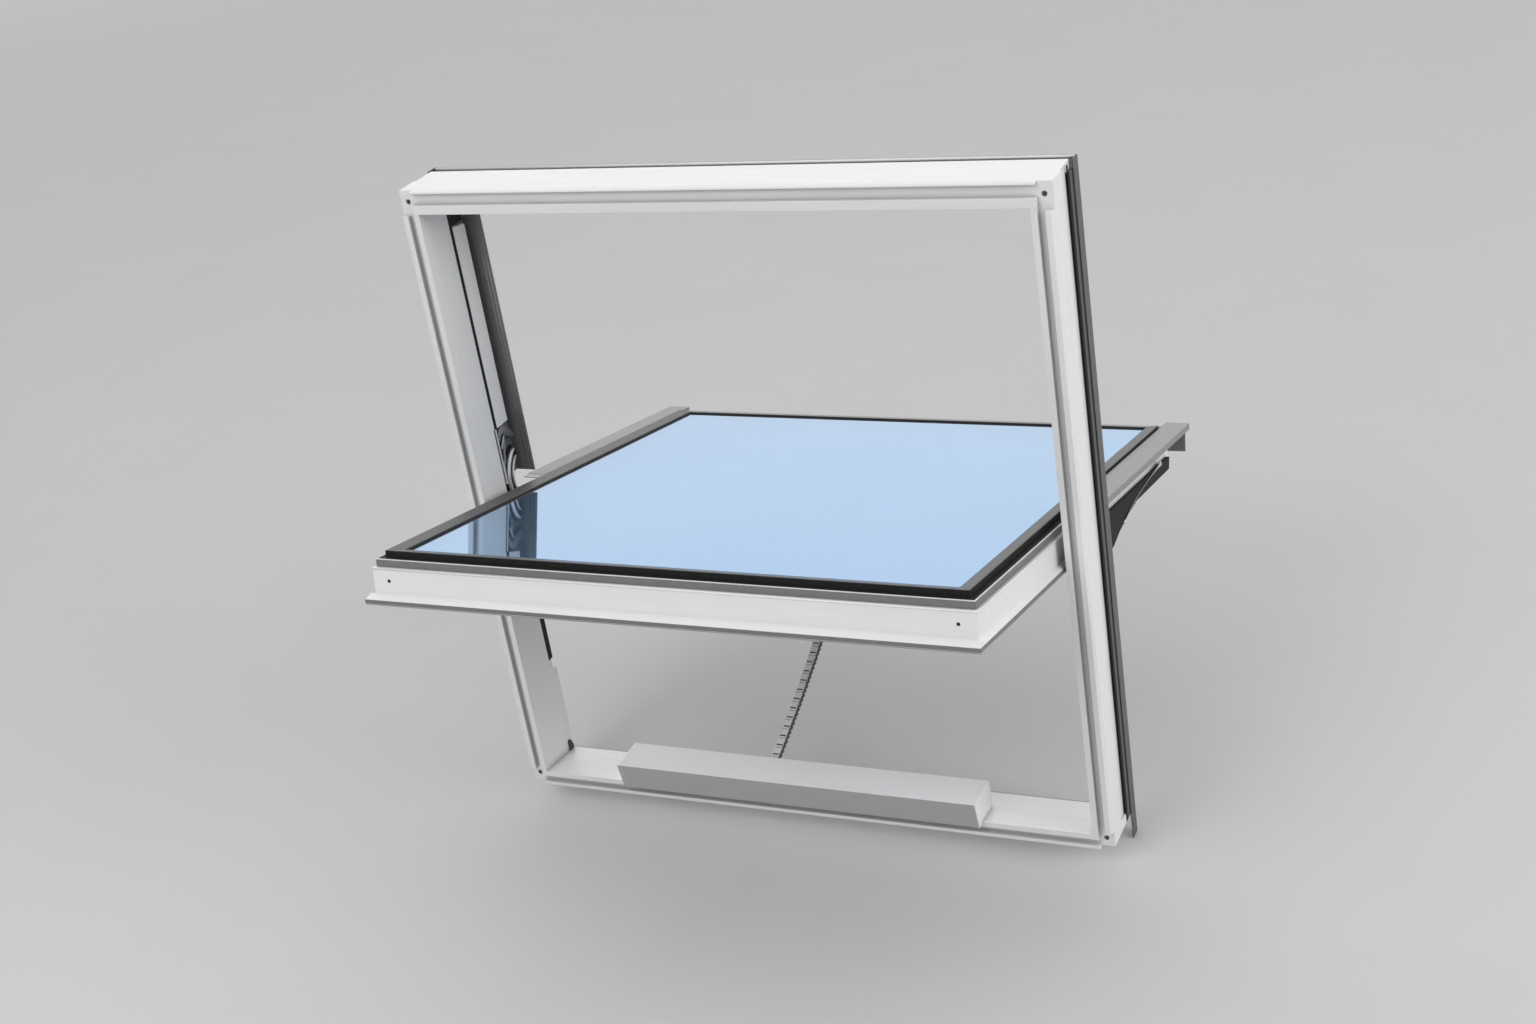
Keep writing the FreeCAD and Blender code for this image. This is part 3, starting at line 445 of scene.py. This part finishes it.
def sash_strip(name, edge, section, material, closed=False, smooth=False):
    """Mitred strip round the sash; section holds (distance inwards, n)."""
    half, top, bottom = edge
    rings = []
    for side, end in ((-1, bottom), (-1, top), (1, top), (1, bottom)):
        inwards = -1 if end == top else int(closed)
        rings.append([sash_point(side * (half - inset), end + inwards * inset, n) for inset, n in section])
    return loft(name, rings, material, "sash", cyclic=closed, smooth=smooth)


def corner_fill(end, span):
    """Blocks that close the glass seat at the sash's corners."""
    blocks = [loft_mesh([[sash_point(side * x, s, n) for x, n in FILL_SECTION] for s in span])
              for side in SIDES.values()]
    return joined(end + "_corner_fill", blocks, paint_along, "sash")


def corner_screws():
    discs = [disc_rings(frame_point(side * SCREW_X, 0, z), Vector((0, -1, 0)), ACROSS, SCREW_PROFILE)
             for side in SIDES.values() for z in SCREW_HEIGHTS]
    return joined("corner_screws", [loft_mesh(rings) for rings in discs], rubber, "frame", smooth=True)


def rail_discs(name, profile, count, material):
    discs = [disc_rings(sash_point(side * HOLE_X, SASH_TOP, HOLE_LEVEL), UP_SASH, ACROSS, profile, count)
             for side in SIDES.values()]
    return joined(name, [loft_mesh(rings) for rings in discs], material, "sash", smooth=True)


sash_strip("glazing_gasket", GLASS_EDGE, [(-0.3, 16.8), (-0.3, 20.2), (1.2, 19.8), (2.8, 18.0), (3.2, 16.8)],
           rubber, closed=True)
sash_strip("cap_seal", CAP_EDGE, [(0.2, 13.2), (-0.7, 13.2), (-0.7, 24.0), (0.2, 24.0)], rubber)
sash_strip("flange_seal", FLANGE_SEAT,
           [(-1.5, -57.8), (-1.5, -59.6), (0.5, -60.6), (4.5, -60.6), (6.0, -59.6), (6.0, -57.8)], rubber)
# Painted highlight along the trim's top inner edge, a near-white strip
sash_strip("trim_highlight_edge", TRIM_EDGE, [(-0.2, 12.2), (-0.2, 13.2), (0.3, 13.6), (1.6, 13.6), (1.9, 12.9)],
           highlight_sheet)
sash_strip("trim_seal", TRIM_EDGE, [(2.1, 12.9), (2.1, 13.3), (3.0, 13.5), (11.5, 13.5), (11.8, 12.9)],
           rubber)
# Painted shade: a grey strip on the flange's front edge stands for the shade on that downward-facing face of
# the white wood
sash_strip("flange_edge_shade", FLANGE_EDGE,
           [(0.3, -50.4), (-0.6, -50.8), (-0.6, -54.0), (-0.15, -57.2), (0.3, -57.4)], grey_sheet)
sash_strip("flange_lip", FLANGE_EDGE, [(0.3, -57.9), (0.3, -59.3), (1.6, -59.5), (1.6, -57.9)], pale_sheet)
sash_strip("sash_nosing", NOSING_EDGE,
           [(NOSING_CENTRE[0] - NOSING_RADIUS * math.sin(t), NOSING_CENTRE[1] + NOSING_RADIUS * math.cos(t))
            for t in turns(math.pi, 10)], paint_across, smooth=True)
for end, span in FILL_SPANS.items():
    corner_fill(end, span)
corner_screws()
# Painted shade in the rail's holes and painted highlight on their rims
rail_discs("rail_hole_shades", HOLE_SHADE_PROFILE, 14, rubber)
rail_discs("rail_hole_rim_highlights", HOLE_RIM_HIGHLIGHT_PROFILE, 16, highlight_sheet)


# Hinges

# Crescents: radius, half width, first and last angle
CRESCENTS = ((61.5, 4.4, -48.0, 64.0), (48.0, 1.9, -48.0, 58.0))
CRESCENT_STEPS = 44
CRESCENT_FADE = 15.0
CRESCENT_TIP = 0.3
# Sections as (share of the half width or of the span, x)
RAIL_SECTION = ((-1.0, 542.0), (-1.0, 538.0), (-0.72, 536.5), (0.0, 536.05), (0.72, 536.5), (1.0, 538.0),
                (1.0, 542.0))
DOME_SECTION = ((0.0, 542.0), (0.0, 539.0), (0.14, 537.0), (0.5, 535.3), (0.86, 537.0), (1.0, 539.0),
                (1.0, 542.0))
# Dome: outer and inner end of each rib as (v, z)
DOME_RIBS = (((79, 680), (82, 676)), ((81, 690), (87, 683)), ((88, 699), (94, 685)), ((98, 703), (102, 680)),
             ((108, 700), (110, 673)), ((118, 691), (118, 668)), ((126, 681), (125, 665)),
             ((130, 674), (130, 664)))
# Pad: outline as (radius, angle) about the pivot, layers as (x, inset), and the sash face that cuts it
PAD_OUTLINE = ((41, -38), (42, -52), (42, -70), (42, -90), (41, -108), (39, -126), (35, -146), (30, -164),
               (25, -176), (17, -178), (10, -160), (8, -125), (9, -100), (14, -80), (21, -64), (28, -52),
               (34, -43), (38, -39))
PAD_LAYERS = ((519.5, 1.2), (520.4, 0.3), (521.6, 0.0), (530.4, 0.0), (531.6, 0.3), (532.4, 1.2))
PAD_TOP = -23.0
# Spring between two (v, z), and wires as x, radius and points (v, z)
SPRING_X = 539.3
SPRING_ENDS = ((97, 679), (85, 632))
SPRING_RADIUS = 2.0
SPRING_COILS = 13
COIL_STEPS = 12
COIL_WIRE = 0.55
WIRES = ((539.6, 1.1, ((98, 688), (103, 680), (92, 672), (86, 660))),
         (540.2, 1.0, ((85, 634), (82, 622), (82, 606), (79.5, 592))))
POCKET_SECTION = ((542.2, 74.0), (537.2, 74.0), (536.2, 75.0), (536.2, 76.6), (537.2, 77.6), (542.2, 77.6))
POCKET_ENDS = (594.0, 704.6)


def upright(name, side, section, ends, material):
    """Straight piece up a jamb; section holds (x, v)."""
    return loft(name, [[frame_point(side * x, v, z) for x, v in section] for z in ends], material, "frame")


def crescent(side, radius, half, low, high):
    """Curved rail about the pivot that narrows at its two ends."""
    rings = []
    for k in range(CRESCENT_STEPS + 1):
        angle = low + (high - low) * k / CRESCENT_STEPS
        near = min((angle - low) / CRESCENT_FADE, (high - angle) / CRESCENT_FADE, 1.0)
        reach = half * (CRESCENT_TIP + (1 - CRESCENT_TIP) * math.sin(math.pi / 2 * max(near, 0.0)))
        rings.append([pivot_point(side * x, radius + share * reach, angle) for share, x in RAIL_SECTION])
    return loft_mesh(rings)


def dome_rings(side):
    """Rounded cap over the top of the crescents."""
    ribs = smoothed([outer + inner for outer, inner in DOME_RIBS])
    return [[frame_point(side * x, v0 + (v1 - v0) * share, z0 + (z1 - z0) * share)
             for share, x in DOME_SECTION] for v0, z0, v1, z1 in ribs]


def pad_rings(side):
    """Rounded pad under the pivot, cut off along the sash."""
    polar = smoothed([*PAD_OUTLINE, PAD_OUTLINE[0]])[:-1]
    outline = [(r * math.cos(math.radians(a)), r * math.sin(math.radians(a))) for r, a in polar]
    middle_y = sum(y for y, _ in outline) / len(outline)
    middle_z = sum(z for _, z in outline) / len(outline)
    layers = []
    for x, inset in PAD_LAYERS:
        ring = []
        for y, z in outline:
            reach = max(math.hypot(y - middle_y, z - middle_z), 1.0)
            y += (middle_y - y) * inset / reach
            z += (middle_z - z) * inset / reach
            over = max(z * math.sin(OPEN_ANGLE) - y * math.cos(OPEN_ANGLE) - PAD_TOP + inset, 0.0)
            y, z = y + over * math.cos(OPEN_ANGLE), z - over * math.sin(OPEN_ANGLE)
            ring.append(Vector((side * x, PIVOT_Y - y, PIVOT_Z + z)) * MM)
        layers.append(ring)
    return layers


def spring_path(side):
    """Centre line of the coil in the hinge's pocket."""
    (v0, z0), (v1, z1) = SPRING_ENDS
    along = Vector((0, v1 - v0, z1 - z0))
    across = Vector((0, along.z, -along.y)).normalized()
    steps = SPRING_COILS * COIL_STEPS
    path = []
    for k in range(steps + 1):
        turn = 2 * math.pi * k / COIL_STEPS
        base = along * (k / steps) + across * SPRING_RADIUS * math.cos(turn)
        path.append(frame_point(side * (SPRING_X + SPRING_RADIUS * math.sin(turn)), v0 + base.y, z0 + base.z))
    return path


def wire(side, x, radius, points):
    return tube([frame_point(side * x, v, z) for v, z in smoothed(points)], radius)


for prefix, side in SIDES.items():
    curves = [crescent(side, *sizes) for sizes in CRESCENTS]
    rails = joined(prefix + "crescents", curves, zinc, "frame", smooth=True)
    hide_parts(prefix + "hinge_rails")
    dome = loft(prefix + "hinge_dome", dome_rings(side), grey_sheet, "frame", smooth=True)
    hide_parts(prefix + "hinge_cap")
    loft(prefix + "hinge_pad", pad_rings(side), paint_up, "sash")
    wires = [tube(spring_path(side), COIL_WIRE, count=6), *(wire(side, *shape) for shape in WIRES)]
    joined(prefix + "hinge_spring", wires, zinc, "frame", smooth=True)
    soften(upright(prefix + "pocket_edge", side, POCKET_SECTION, POCKET_ENDS, paint_up), width=0.4)


# Stays under the lower covers

STRAP = smoothed([(-470, -26), (-430, -29), (-350, -38), (-277, -50), (-236, -64), (-224, -70)], rounds=3)
STRAP_X = 530.9
STRAP_WIDTH = 8.0
STRAP_WAIST = 3.0
STRAP_THICKNESS = 1.6
STRAP_TWIST = math.radians(80)
STRAP_LEAN = 0.35
KNOB_X = 528.6
KNOB_PLACE = (-222, -70.5)
KNOB_PROFILE = ((1.0, -1.4), (3.0, -1.1), (4.2, 0.0), (4.2, 2.0), (3.4, 3.0), (1.2, 3.6))
EYE_PLACE = (-470, -26)
EYE_PROFILE = ((1.0, -1.0), (5.2, -0.8), (5.6, 0.2), (5.2, 2.0), (2.4, 3.2), (0.8, 3.4))
PLATE_OUTLINE = ((-300, -56), (-240, -67), (-193, -80), (-162, -93), (-150, -97), (-138, -95), (-70, -57),
                 (-70, -40), (-300, -40))
PLATE_SPAN = (520.8, 529.2)
# Tongue of the lower cover and the bright fold at its end, as (x, s); the fold is a near-white strip, a
# painted highlight
TONGUE = ((506.2, -24.0), (548.6, -24.0), (548.6, -4.0), (546.0, -1.6), (524.0, 0.2), (506.2, 1.6))
TONGUE_LEVELS = (18.1, 19.9)
TONGUE_FOLD = ((506.2, -2.0), (524.0, -3.6), (545.0, -5.6), (548.4, -9.0), (548.4, -4.0), (546.0, -1.6),
               (524.0, 0.2), (506.2, 1.6))
FOLD_LEVELS = (19.4, 20.3)


def strap(side):
    """Flat strap that twists on its way."""
    last = len(STRAP) - 1
    rings = []
    for k, (s, n) in enumerate(STRAP):
        bow = math.sin(math.pi * k / last)
        twist = STRAP_TWIST * bow
        (s1, n1), (s0, n0) = STRAP[min(k + 1, last)], STRAP[max(k - 1, 0)]
        along = (UP_SASH * (s1 - s0) + OUT_SASH * (n1 - n0)).normalized()
        flat = along.cross(ACROSS).normalized()
        across = flat * math.cos(twist) + ACROSS * math.sin(twist) * STRAP_LEAN
        normal = ACROSS * math.cos(twist) - flat * math.sin(twist) * STRAP_LEAN
        a = across * (STRAP_WIDTH - STRAP_WAIST * bow) / 2 * MM
        b = normal * STRAP_THICKNESS / 2 * MM
        centre = sash_point(side * STRAP_X, s, n)
        rings.append([centre - a - b, centre + a - b, centre + a + b, centre - a + b])
    return loft_mesh(rings)


def knob(side, place, profile, count):
    return loft_mesh(disc_rings(sash_point(side * KNOB_X, *place), ACROSS * side, UP_SASH, profile, count))


def sash_slab(name, side, outline, levels, material):
    """Flat piece along the sash's face; outline holds (x, s)."""
    return loft(name, [[sash_point(side * x, s, n) for x, s in outline] for n in levels], material, "sash")


def stay(prefix, side):
    meshes = [strap(side), knob(side, KNOB_PLACE, KNOB_PROFILE, 16), knob(side, EYE_PLACE, EYE_PROFILE, 18)]
    joined(prefix + "stay_strap", meshes, zinc, "sash", smooth=True)
    soften(sash_slab(prefix + "cover_tongue", side, TONGUE, TONGUE_LEVELS, pale_sheet), width=0.5)
    # Painted highlight on the fold at the tongue's end
    sash_slab(prefix + "tongue_highlight_edge", side, TONGUE_FOLD, FOLD_LEVELS, highlight_sheet)
    plate = [[sash_point(side * x, s, n) for s, n in PLATE_OUTLINE] for x in PLATE_SPAN]
    soften(loft(prefix + "stay_plate", plate, rubber, "sash"), width=1.5, segments=3)


# Small parts of the frame

WEDGE_OUTLINE = ((80, 15.8), (95, 14.2), (95, 22), (90, 34), (84, 38.5), (80, 36))
WEDGE_SPAN = (535.2, 532.2)
# Ribs on the upper covers: name, distance from the frame's side, radius; they are painted paler than the
# covers as a painted highlight
RIBS = (("inner_rib", 54.0, 1.3), ("outer_rib", 47.0, 1.0))
RIB_FACE = 132.2
RIB_ENDS = (600.0, 1115.0)
SIDE_ENDS = (0.6, 1165.0)
# Painted shade: a black and a dark strip up the jamb's side stand for the shadow under the cladding's edge
SIDE_SHADE_SECTION = ((565.8, 75.0), (570.4, 75.3), (570.5, 76.0), (570.5, 82.2), (565.8, 82.2))
SIDE_SHADE_RIB_SECTION = ((565.8, 82.0), (570.5, 82.3), (570.8, 83.2), (570.8, 97.5), (565.8, 97.5))
# Beads up the sides: name, centre (x, v), radii, ends, material; the black ridge bead is painted shade along
# the jamb's ridge, and the cladding bead is a rolled hem on the cladding's outer edge, painted paler than the
# cladding as a painted highlight
BEADS = (("ridge_shade_bead", (569.7, 74.2), (1.3, 1.6), (0.6, 1178.0), rubber),
         ("cladding_highlight_bead", (571.4, 121.2), (1.5, 1.5), (-49.5, 1179.5), pale_sheet))
HALF_TURN = turns(math.pi, 8)
FULL_TURN = turns(2 * math.pi, 10)[:-1]


def upright_bead(name, side, centre, radii, angles, ends, material):
    """Round bead up a jamb about (x, v)."""
    rings = [[frame_point(side * (centre[0] + radii[0] * math.cos(t)), centre[1] + radii[1] * math.sin(t), z)
              for t in angles] for z in ends]
    return loft(name, rings, material, "frame", smooth=True)


def jamb_details(prefix, side):
    wedge = [[frame_point(side * x, v, z) for v, z in WEDGE_OUTLINE] for x in WEDGE_SPAN]
    soften(loft(prefix + "sill_wedge", wedge, dark_plastic, "frame"), width=0.8)
    # Ribs in a paler grey than their cover: painted highlight
    for name, inwards, radius in RIBS:
        upright_bead(prefix + name, side, (HALF_WIDTH - inwards, RIB_FACE), (radius, -radius), HALF_TURN,
                     RIB_ENDS, pale_sheet)
    # Painted shade along the jamb's side, under the cladding's edge
    upright(prefix + "side_shade_strip", side, SIDE_SHADE_SECTION, SIDE_ENDS, rubber)
    upright(prefix + "side_shade_rib", side, SIDE_SHADE_RIB_SECTION, SIDE_ENDS, dark_sheet)
    for name, centre, radii, ends, material in BEADS:
        upright_bead(prefix + name, side, centre, radii, FULL_TURN, ends, material)


for prefix, side in SIDES.items():
    stay(prefix, side)
    jamb_details(prefix, side)

# Painted highlight: a near-white bead along the hood's top edge
HOOD_CENTRE = (118.6, 1177.3)
HOOD_RADIUS = 2.6
HOOD_SPAN = (-569.6, 569.6)
loft("hood_highlight_bead", [[frame_point(x, HOOD_CENTRE[0] + HOOD_RADIUS * math.cos(t),
                                HOOD_CENTRE[1] + HOOD_RADIUS * math.sin(t)) for t in FULL_TURN]
                   for x in HOOD_SPAN], highlight_sheet, "frame", smooth=True)


# Drive chain

CHAIN_X = -78.0
CHAIN_START = (-18.45, 53.0)
CHAIN_END = (601.6, 371.7)
CHAIN_SAG = 24.0
CHAIN_PITCH = 10.6
WIDE_HALF = 9.6
NARROW_HALF = 6.7
NARROW_PINS = 6
LINK_HALF_LENGTH = 9.5
LINK_HALF_HEIGHT = 4.5
LINK_EDGE = 0.35
LINK_END_STEPS = 7
# Side views: radius of the ends, half height of the waist
PLATE_SHAPE = (4.2, 3.3)
BLOCK_SHAPE = (4.0, 3.6)
# Ends of a link's back, from its first and its second pin
OUTER_BACK = (-2.6, -0.3)
INNER_BACK = (0.3, -5.6)


def chain_path():
    """Pins at even steps along a hanging arc from the housing to the bracket."""
    (y0, z0), (y1, z1) = CHAIN_START, CHAIN_END
    span = math.dist(CHAIN_START, CHAIN_END)
    radius = (span * span / 4 + CHAIN_SAG * CHAIN_SAG) / (2 * CHAIN_SAG)
    sweep = 2 * math.asin(span / (2 * radius))
    slope = math.atan2(z1 - z0, y1 - y0)
    count = 2 * round(radius * sweep / CHAIN_PITCH / 2)
    middle = ((y0 + y1) / 2 - (radius - CHAIN_SAG) * math.sin(slope),
              (z0 + z1) / 2 + (radius - CHAIN_SAG) * math.cos(slope))
    angles = [slope - math.pi / 2 + sweep * (k / count - 0.5) for k in range(count + 1)]
    return [(middle[0] + radius * math.cos(t), middle[1] + radius * math.sin(t)) for t in angles]


def link_outline(pitch, nose, waist):
    """Side view of a link between two pins, round at both ends and waisted."""
    outline = []
    for centre, first, middle in ((pitch, -math.pi / 2, waist), (0.0, math.pi / 2, -waist)):
        for turn in turns(math.pi, LINK_END_STEPS):
            outline.append((centre + nose * math.cos(first + turn), nose * math.sin(first + turn)))
        outline.append((pitch / 2, middle))
    return outline


def link_plate(outline, start, heading, x0, x1):
    """Plate of a link with small bevels, from x0 to x1 beside the chain's middle."""
    rings = []
    for x, inset in ((x0, LINK_EDGE), (x0 + LINK_EDGE, 0.0), (x1 - LINK_EDGE, 0.0), (x1, LINK_EDGE)):
        ring = []
        for along, up in outline:
            a = CHAIN_PITCH / 2 + (along - CHAIN_PITCH / 2) * (1 - inset / LINK_HALF_LENGTH)
            b = up * (1 - inset / LINK_HALF_HEIGHT)
            ring.append(Vector((CHAIN_X + x, start[0] + a * math.cos(heading) - b * math.sin(heading),
                                start[1] + a * math.sin(heading) + b * math.cos(heading))) * MM)
        rings.append(ring)
    return loft_mesh(rings)


def chain_pin(pin, half):
    """Pin with a domed head on its left end."""
    profile = ((1.0, -0.6 - half), (1.9, -0.4 - half), (2.2, 0.4 - half), (1.6, half - 2.0),
               (1.5, half - 0.6), (0.6, half))
    centre = Vector((CHAIN_X, *pin)) * MM
    return loft_mesh(disc_rings(centre, ACROSS, Vector((0, 1, 0)), profile, 10))


def chain_meshes():
    """Meshes of the links in the bright steel of their lit faces and the dark steel of their shaded faces,
    painted light and shade; outer and inner links take turns.
    """
    pins = chain_path()
    pitch = math.dist(pins[0], pins[1])
    plate = link_outline(pitch, *PLATE_SHAPE)
    block = link_outline(pitch, *BLOCK_SHAPE)
    bright, dark = [], []
    for k, (start, end) in enumerate(zip(pins, pins[1:])):
        outer_link = k % 2 == 0
        heading = math.atan2(end[1] - start[1], end[0] - start[0])
        half = WIDE_HALF if k < len(pins) - NARROW_PINS else NARROW_HALF
        inner = half - (1.5 if outer_link else 1.8)
        dark.append(link_plate(plate, start, heading, inner - 1.5, inner))
        dark.append(link_plate(block, start, heading, 1.0 - half, 1.6))
        bright.append(link_plate(plate, start, heading, -half, 1.2 - half))
        low, high = OUTER_BACK if outer_link else INNER_BACK
        high += pitch
        back = [(low, 1.0), (high, 1.0), (high, 3.7), (high - 0.6, 4.4), (low + 0.6, 4.4), (low, 3.7)]
        bright.append(link_plate(back, start, heading, 0.6 - half, half - 4.6))
        if outer_link:
            bright += [chain_pin(start, half), chain_pin(end, half)]
    return bright, dark


# Lit link faces get the bright steel and shaded ones the dark steel: painted light and shade
lit_links, shaded_links = chain_meshes()
for links in (joined("chain_links", lit_links, chain_metal, "frame"),
              joined("chain_sides", shaded_links, chain_shade_steel, "frame")):
    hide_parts("drive_chain")
    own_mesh(links)


# Ends of the actuator

END_OUTLINE = ((-35, 77), (-24, 22), (-11.5, 22), (-11.5, 26.4), (47, 20.2), (47, 72), (42, 77))
# Layers of an end: distance back from its face, growth of the outline
END_LAYERS = ((8.0, -0.6), (8.0, 0.5), (2.0, 0.5), (0.6, -0.2), (0.0, -1.8))
# Faces of the two ends: x and the way that each looks
END_FACES = {"actuator_left_end": (-360.0, -1), "actuator_right_end": (338.0, 1)}


def outset(points, reach):
    """Outline moved outwards from its middle."""
    v0 = sum(v for v, _ in points) / len(points)
    z0 = sum(z for _, z in points) / len(points)
    moved = []
    for v, z in points:
        far = math.hypot(v - v0, z - z0)
        moved.append((v + (v - v0) * reach / far, z + (z - z0) * reach / far))
    return moved


for name, (face, way) in END_FACES.items():
    loft(name, [[frame_point(face - way * back, v, z) for v, z in outset(END_OUTLINE, reach)]
                for back, reach in END_LAYERS], pale_plastic, "frame")


# Camera

def look_matrix(place, azimuth, pitch, roll):
    forward = Vector((-math.sin(azimuth) * math.cos(pitch), math.cos(azimuth) * math.cos(pitch),
                      -math.sin(pitch)))
    right = forward.cross(Vector((0, 0, 1))).normalized()
    up = right.cross(forward)
    turned_right = right * math.cos(roll) + up * math.sin(roll)
    turned_up = up * math.cos(roll) - right * math.sin(roll)
    matrix = Matrix((turned_right, turned_up, -forward)).transposed().to_4x4()
    matrix.translation = Vector(place)
    return matrix


camera_data = bpy.data.cameras.new("camera")
camera_data.lens = FOCAL_LENGTH
camera_data.sensor_width = SENSOR_WIDTH
camera_data.sensor_fit = "HORIZONTAL"
camera = bpy.data.objects.new("camera", camera_data)
bpy.context.scene.collection.objects.link(camera)
camera.matrix_world = look_matrix(CAMERA_PLACE, CAMERA_AZIMUTH, CAMERA_PITCH, CAMERA_ROLL)
bpy.context.scene.camera = camera


# Studio

# Light of the room: front and back, above, and a low bright window behind
ROOM_FRONT_BACK = (0.40, 0.56)
ROOM_TOP = 0.20
ROOM_WINDOW = 5.8
ROOM_WINDOW_SIDE = (-0.34, 0.94, 0.0)
# Directions over which that light fades: along Y, up, and aside from the window
ROOM_DEPTH = (-0.8, 0.9)
WINDOW_HEIGHT = (0.12, 0.45)
WINDOW_WIDTH = (0.55, 0.9)
# Floor: half its length in metres, its greys, and where it fades to white
FLOOR_HALF = 30.0
FLOOR_GREYS = ((0.595, 0.595, 0.595), (0.605, 0.605, 0.605))
FLOOR_FADE = (8.0, 28.0)
FLOOR_HAZE = 0.52


def soft_box(name, place, target, size, power):
    """Round lamp that glass and metal don't mirror."""
    data = bpy.data.lights.new(name, "AREA")
    data.energy = power
    data.shape = "DISK"
    data.size = size
    made = bpy.data.objects.new(name, data)
    bpy.context.scene.collection.objects.link(made)
    made.visible_glossy = False
    made.location = place
    made.rotation_euler = (Vector(target) - Vector(place)).to_track_quat("-Z", "Y").to_euler()


def combine(tree, operation, first, second):
    node = add_node(tree, "ShaderNodeMath", operation=operation)
    tree.links.new(first, node.inputs[0])
    tree.links.new(second, node.inputs[1])
    return node.outputs[0]


def studio():
    """Room light that is brighter above and low behind, and that shows as plain white."""
    world = bpy.data.worlds.new("studio")
    bpy.context.scene.world = world
    world.use_nodes = True
    tree = world.node_tree
    background = tree.nodes["Background"]
    background.inputs["Color"].default_value = (1.0, 1.0, 1.0, 1)
    place = add_node(tree, "ShaderNodeTexCoord")
    parts = add_node(tree, "ShaderNodeSeparateXYZ")
    tree.links.new(place.outputs["Generated"], parts.inputs["Vector"])
    behind = map_range(tree, parts.outputs["Y"], ROOM_DEPTH, ROOM_FRONT_BACK)
    above = map_range(tree, parts.outputs["Z"], (0.0, 1.0), (0.0, ROOM_TOP))
    low = map_range(tree, parts.outputs["Z"], WINDOW_HEIGHT, (ROOM_WINDOW, 0.0))
    far = map_range(tree, facing(tree, ROOM_WINDOW_SIDE, "Generated"), WINDOW_WIDTH, (0.0, 1.0))
    soft = combine(tree, "ADD", combine(tree, "ADD", behind, above), combine(tree, "MULTIPLY", low, far))
    rays = tree.nodes.new("ShaderNodeLightPath")
    seen = combine(tree, "MAXIMUM", rays.outputs["Is Camera Ray"], rays.outputs["Is Glossy Ray"])
    seen = combine(tree, "MAXIMUM", seen, rays.outputs["Is Transmission Ray"])
    strength = add_node(tree, "ShaderNodeMix")
    tree.links.new(seen, strength.inputs[0])
    tree.links.new(soft, strength.inputs[2])
    strength.inputs[3].default_value = 1.0
    tree.links.new(strength.outputs[0], background.inputs["Strength"])


def floor():
    """Pale floor that fades to white far away."""
    mesh = bpy.data.meshes.new("floor")
    built = bmesh.new()
    bmesh.ops.create_grid(built, x_segments=1, y_segments=1, size=FLOOR_HALF)
    built.to_mesh(mesh)
    built.free()
    ground = bpy.data.objects.new("floor", mesh)
    bpy.context.scene.collection.objects.link(ground)
    ground.location = (0, 0, FLOOR_LEVEL * MM)
    material, tree, shader = new_material("floor")
    place = object_coordinates(tree)
    tree.links.new(ramp(tree, noise(tree, place, scale=3.0), FLOOR_GREYS), shader.inputs["Base Color"])
    shader.inputs["Roughness"].default_value = 0.9
    shader.inputs["Specular IOR Level"].default_value = 0.1
    distance = add_node(tree, "ShaderNodeVectorMath", operation="LENGTH")
    tree.links.new(place, distance.inputs[0])
    haze = map_range(tree, distance.outputs["Value"], FLOOR_FADE, (0.0, FLOOR_HAZE))
    rays = tree.nodes.new("ShaderNodeLightPath")
    seen_haze = combine(tree, "MULTIPLY", haze, rays.outputs["Is Camera Ray"])
    shader.inputs["Emission Color"].default_value = (1.0, 1.0, 1.0, 1)
    tree.links.new(seen_haze, shader.inputs["Emission Strength"])
    mesh.materials.append(material)


studio()
soft_box("front", place=(-1.0, -4.2, 4.2), target=(0, 0, 0.5), size=3.0, power=85)
soft_box("right", place=(9.0, -1.2, 4.4), target=(0, 0, 0.6), size=5.0, power=300)
floor()
bpy.context.scene.view_settings.view_transform = "Standard"
bpy.context.scene.cycles.caustics_reflective = False
bpy.context.scene.cycles.caustics_refractive = False
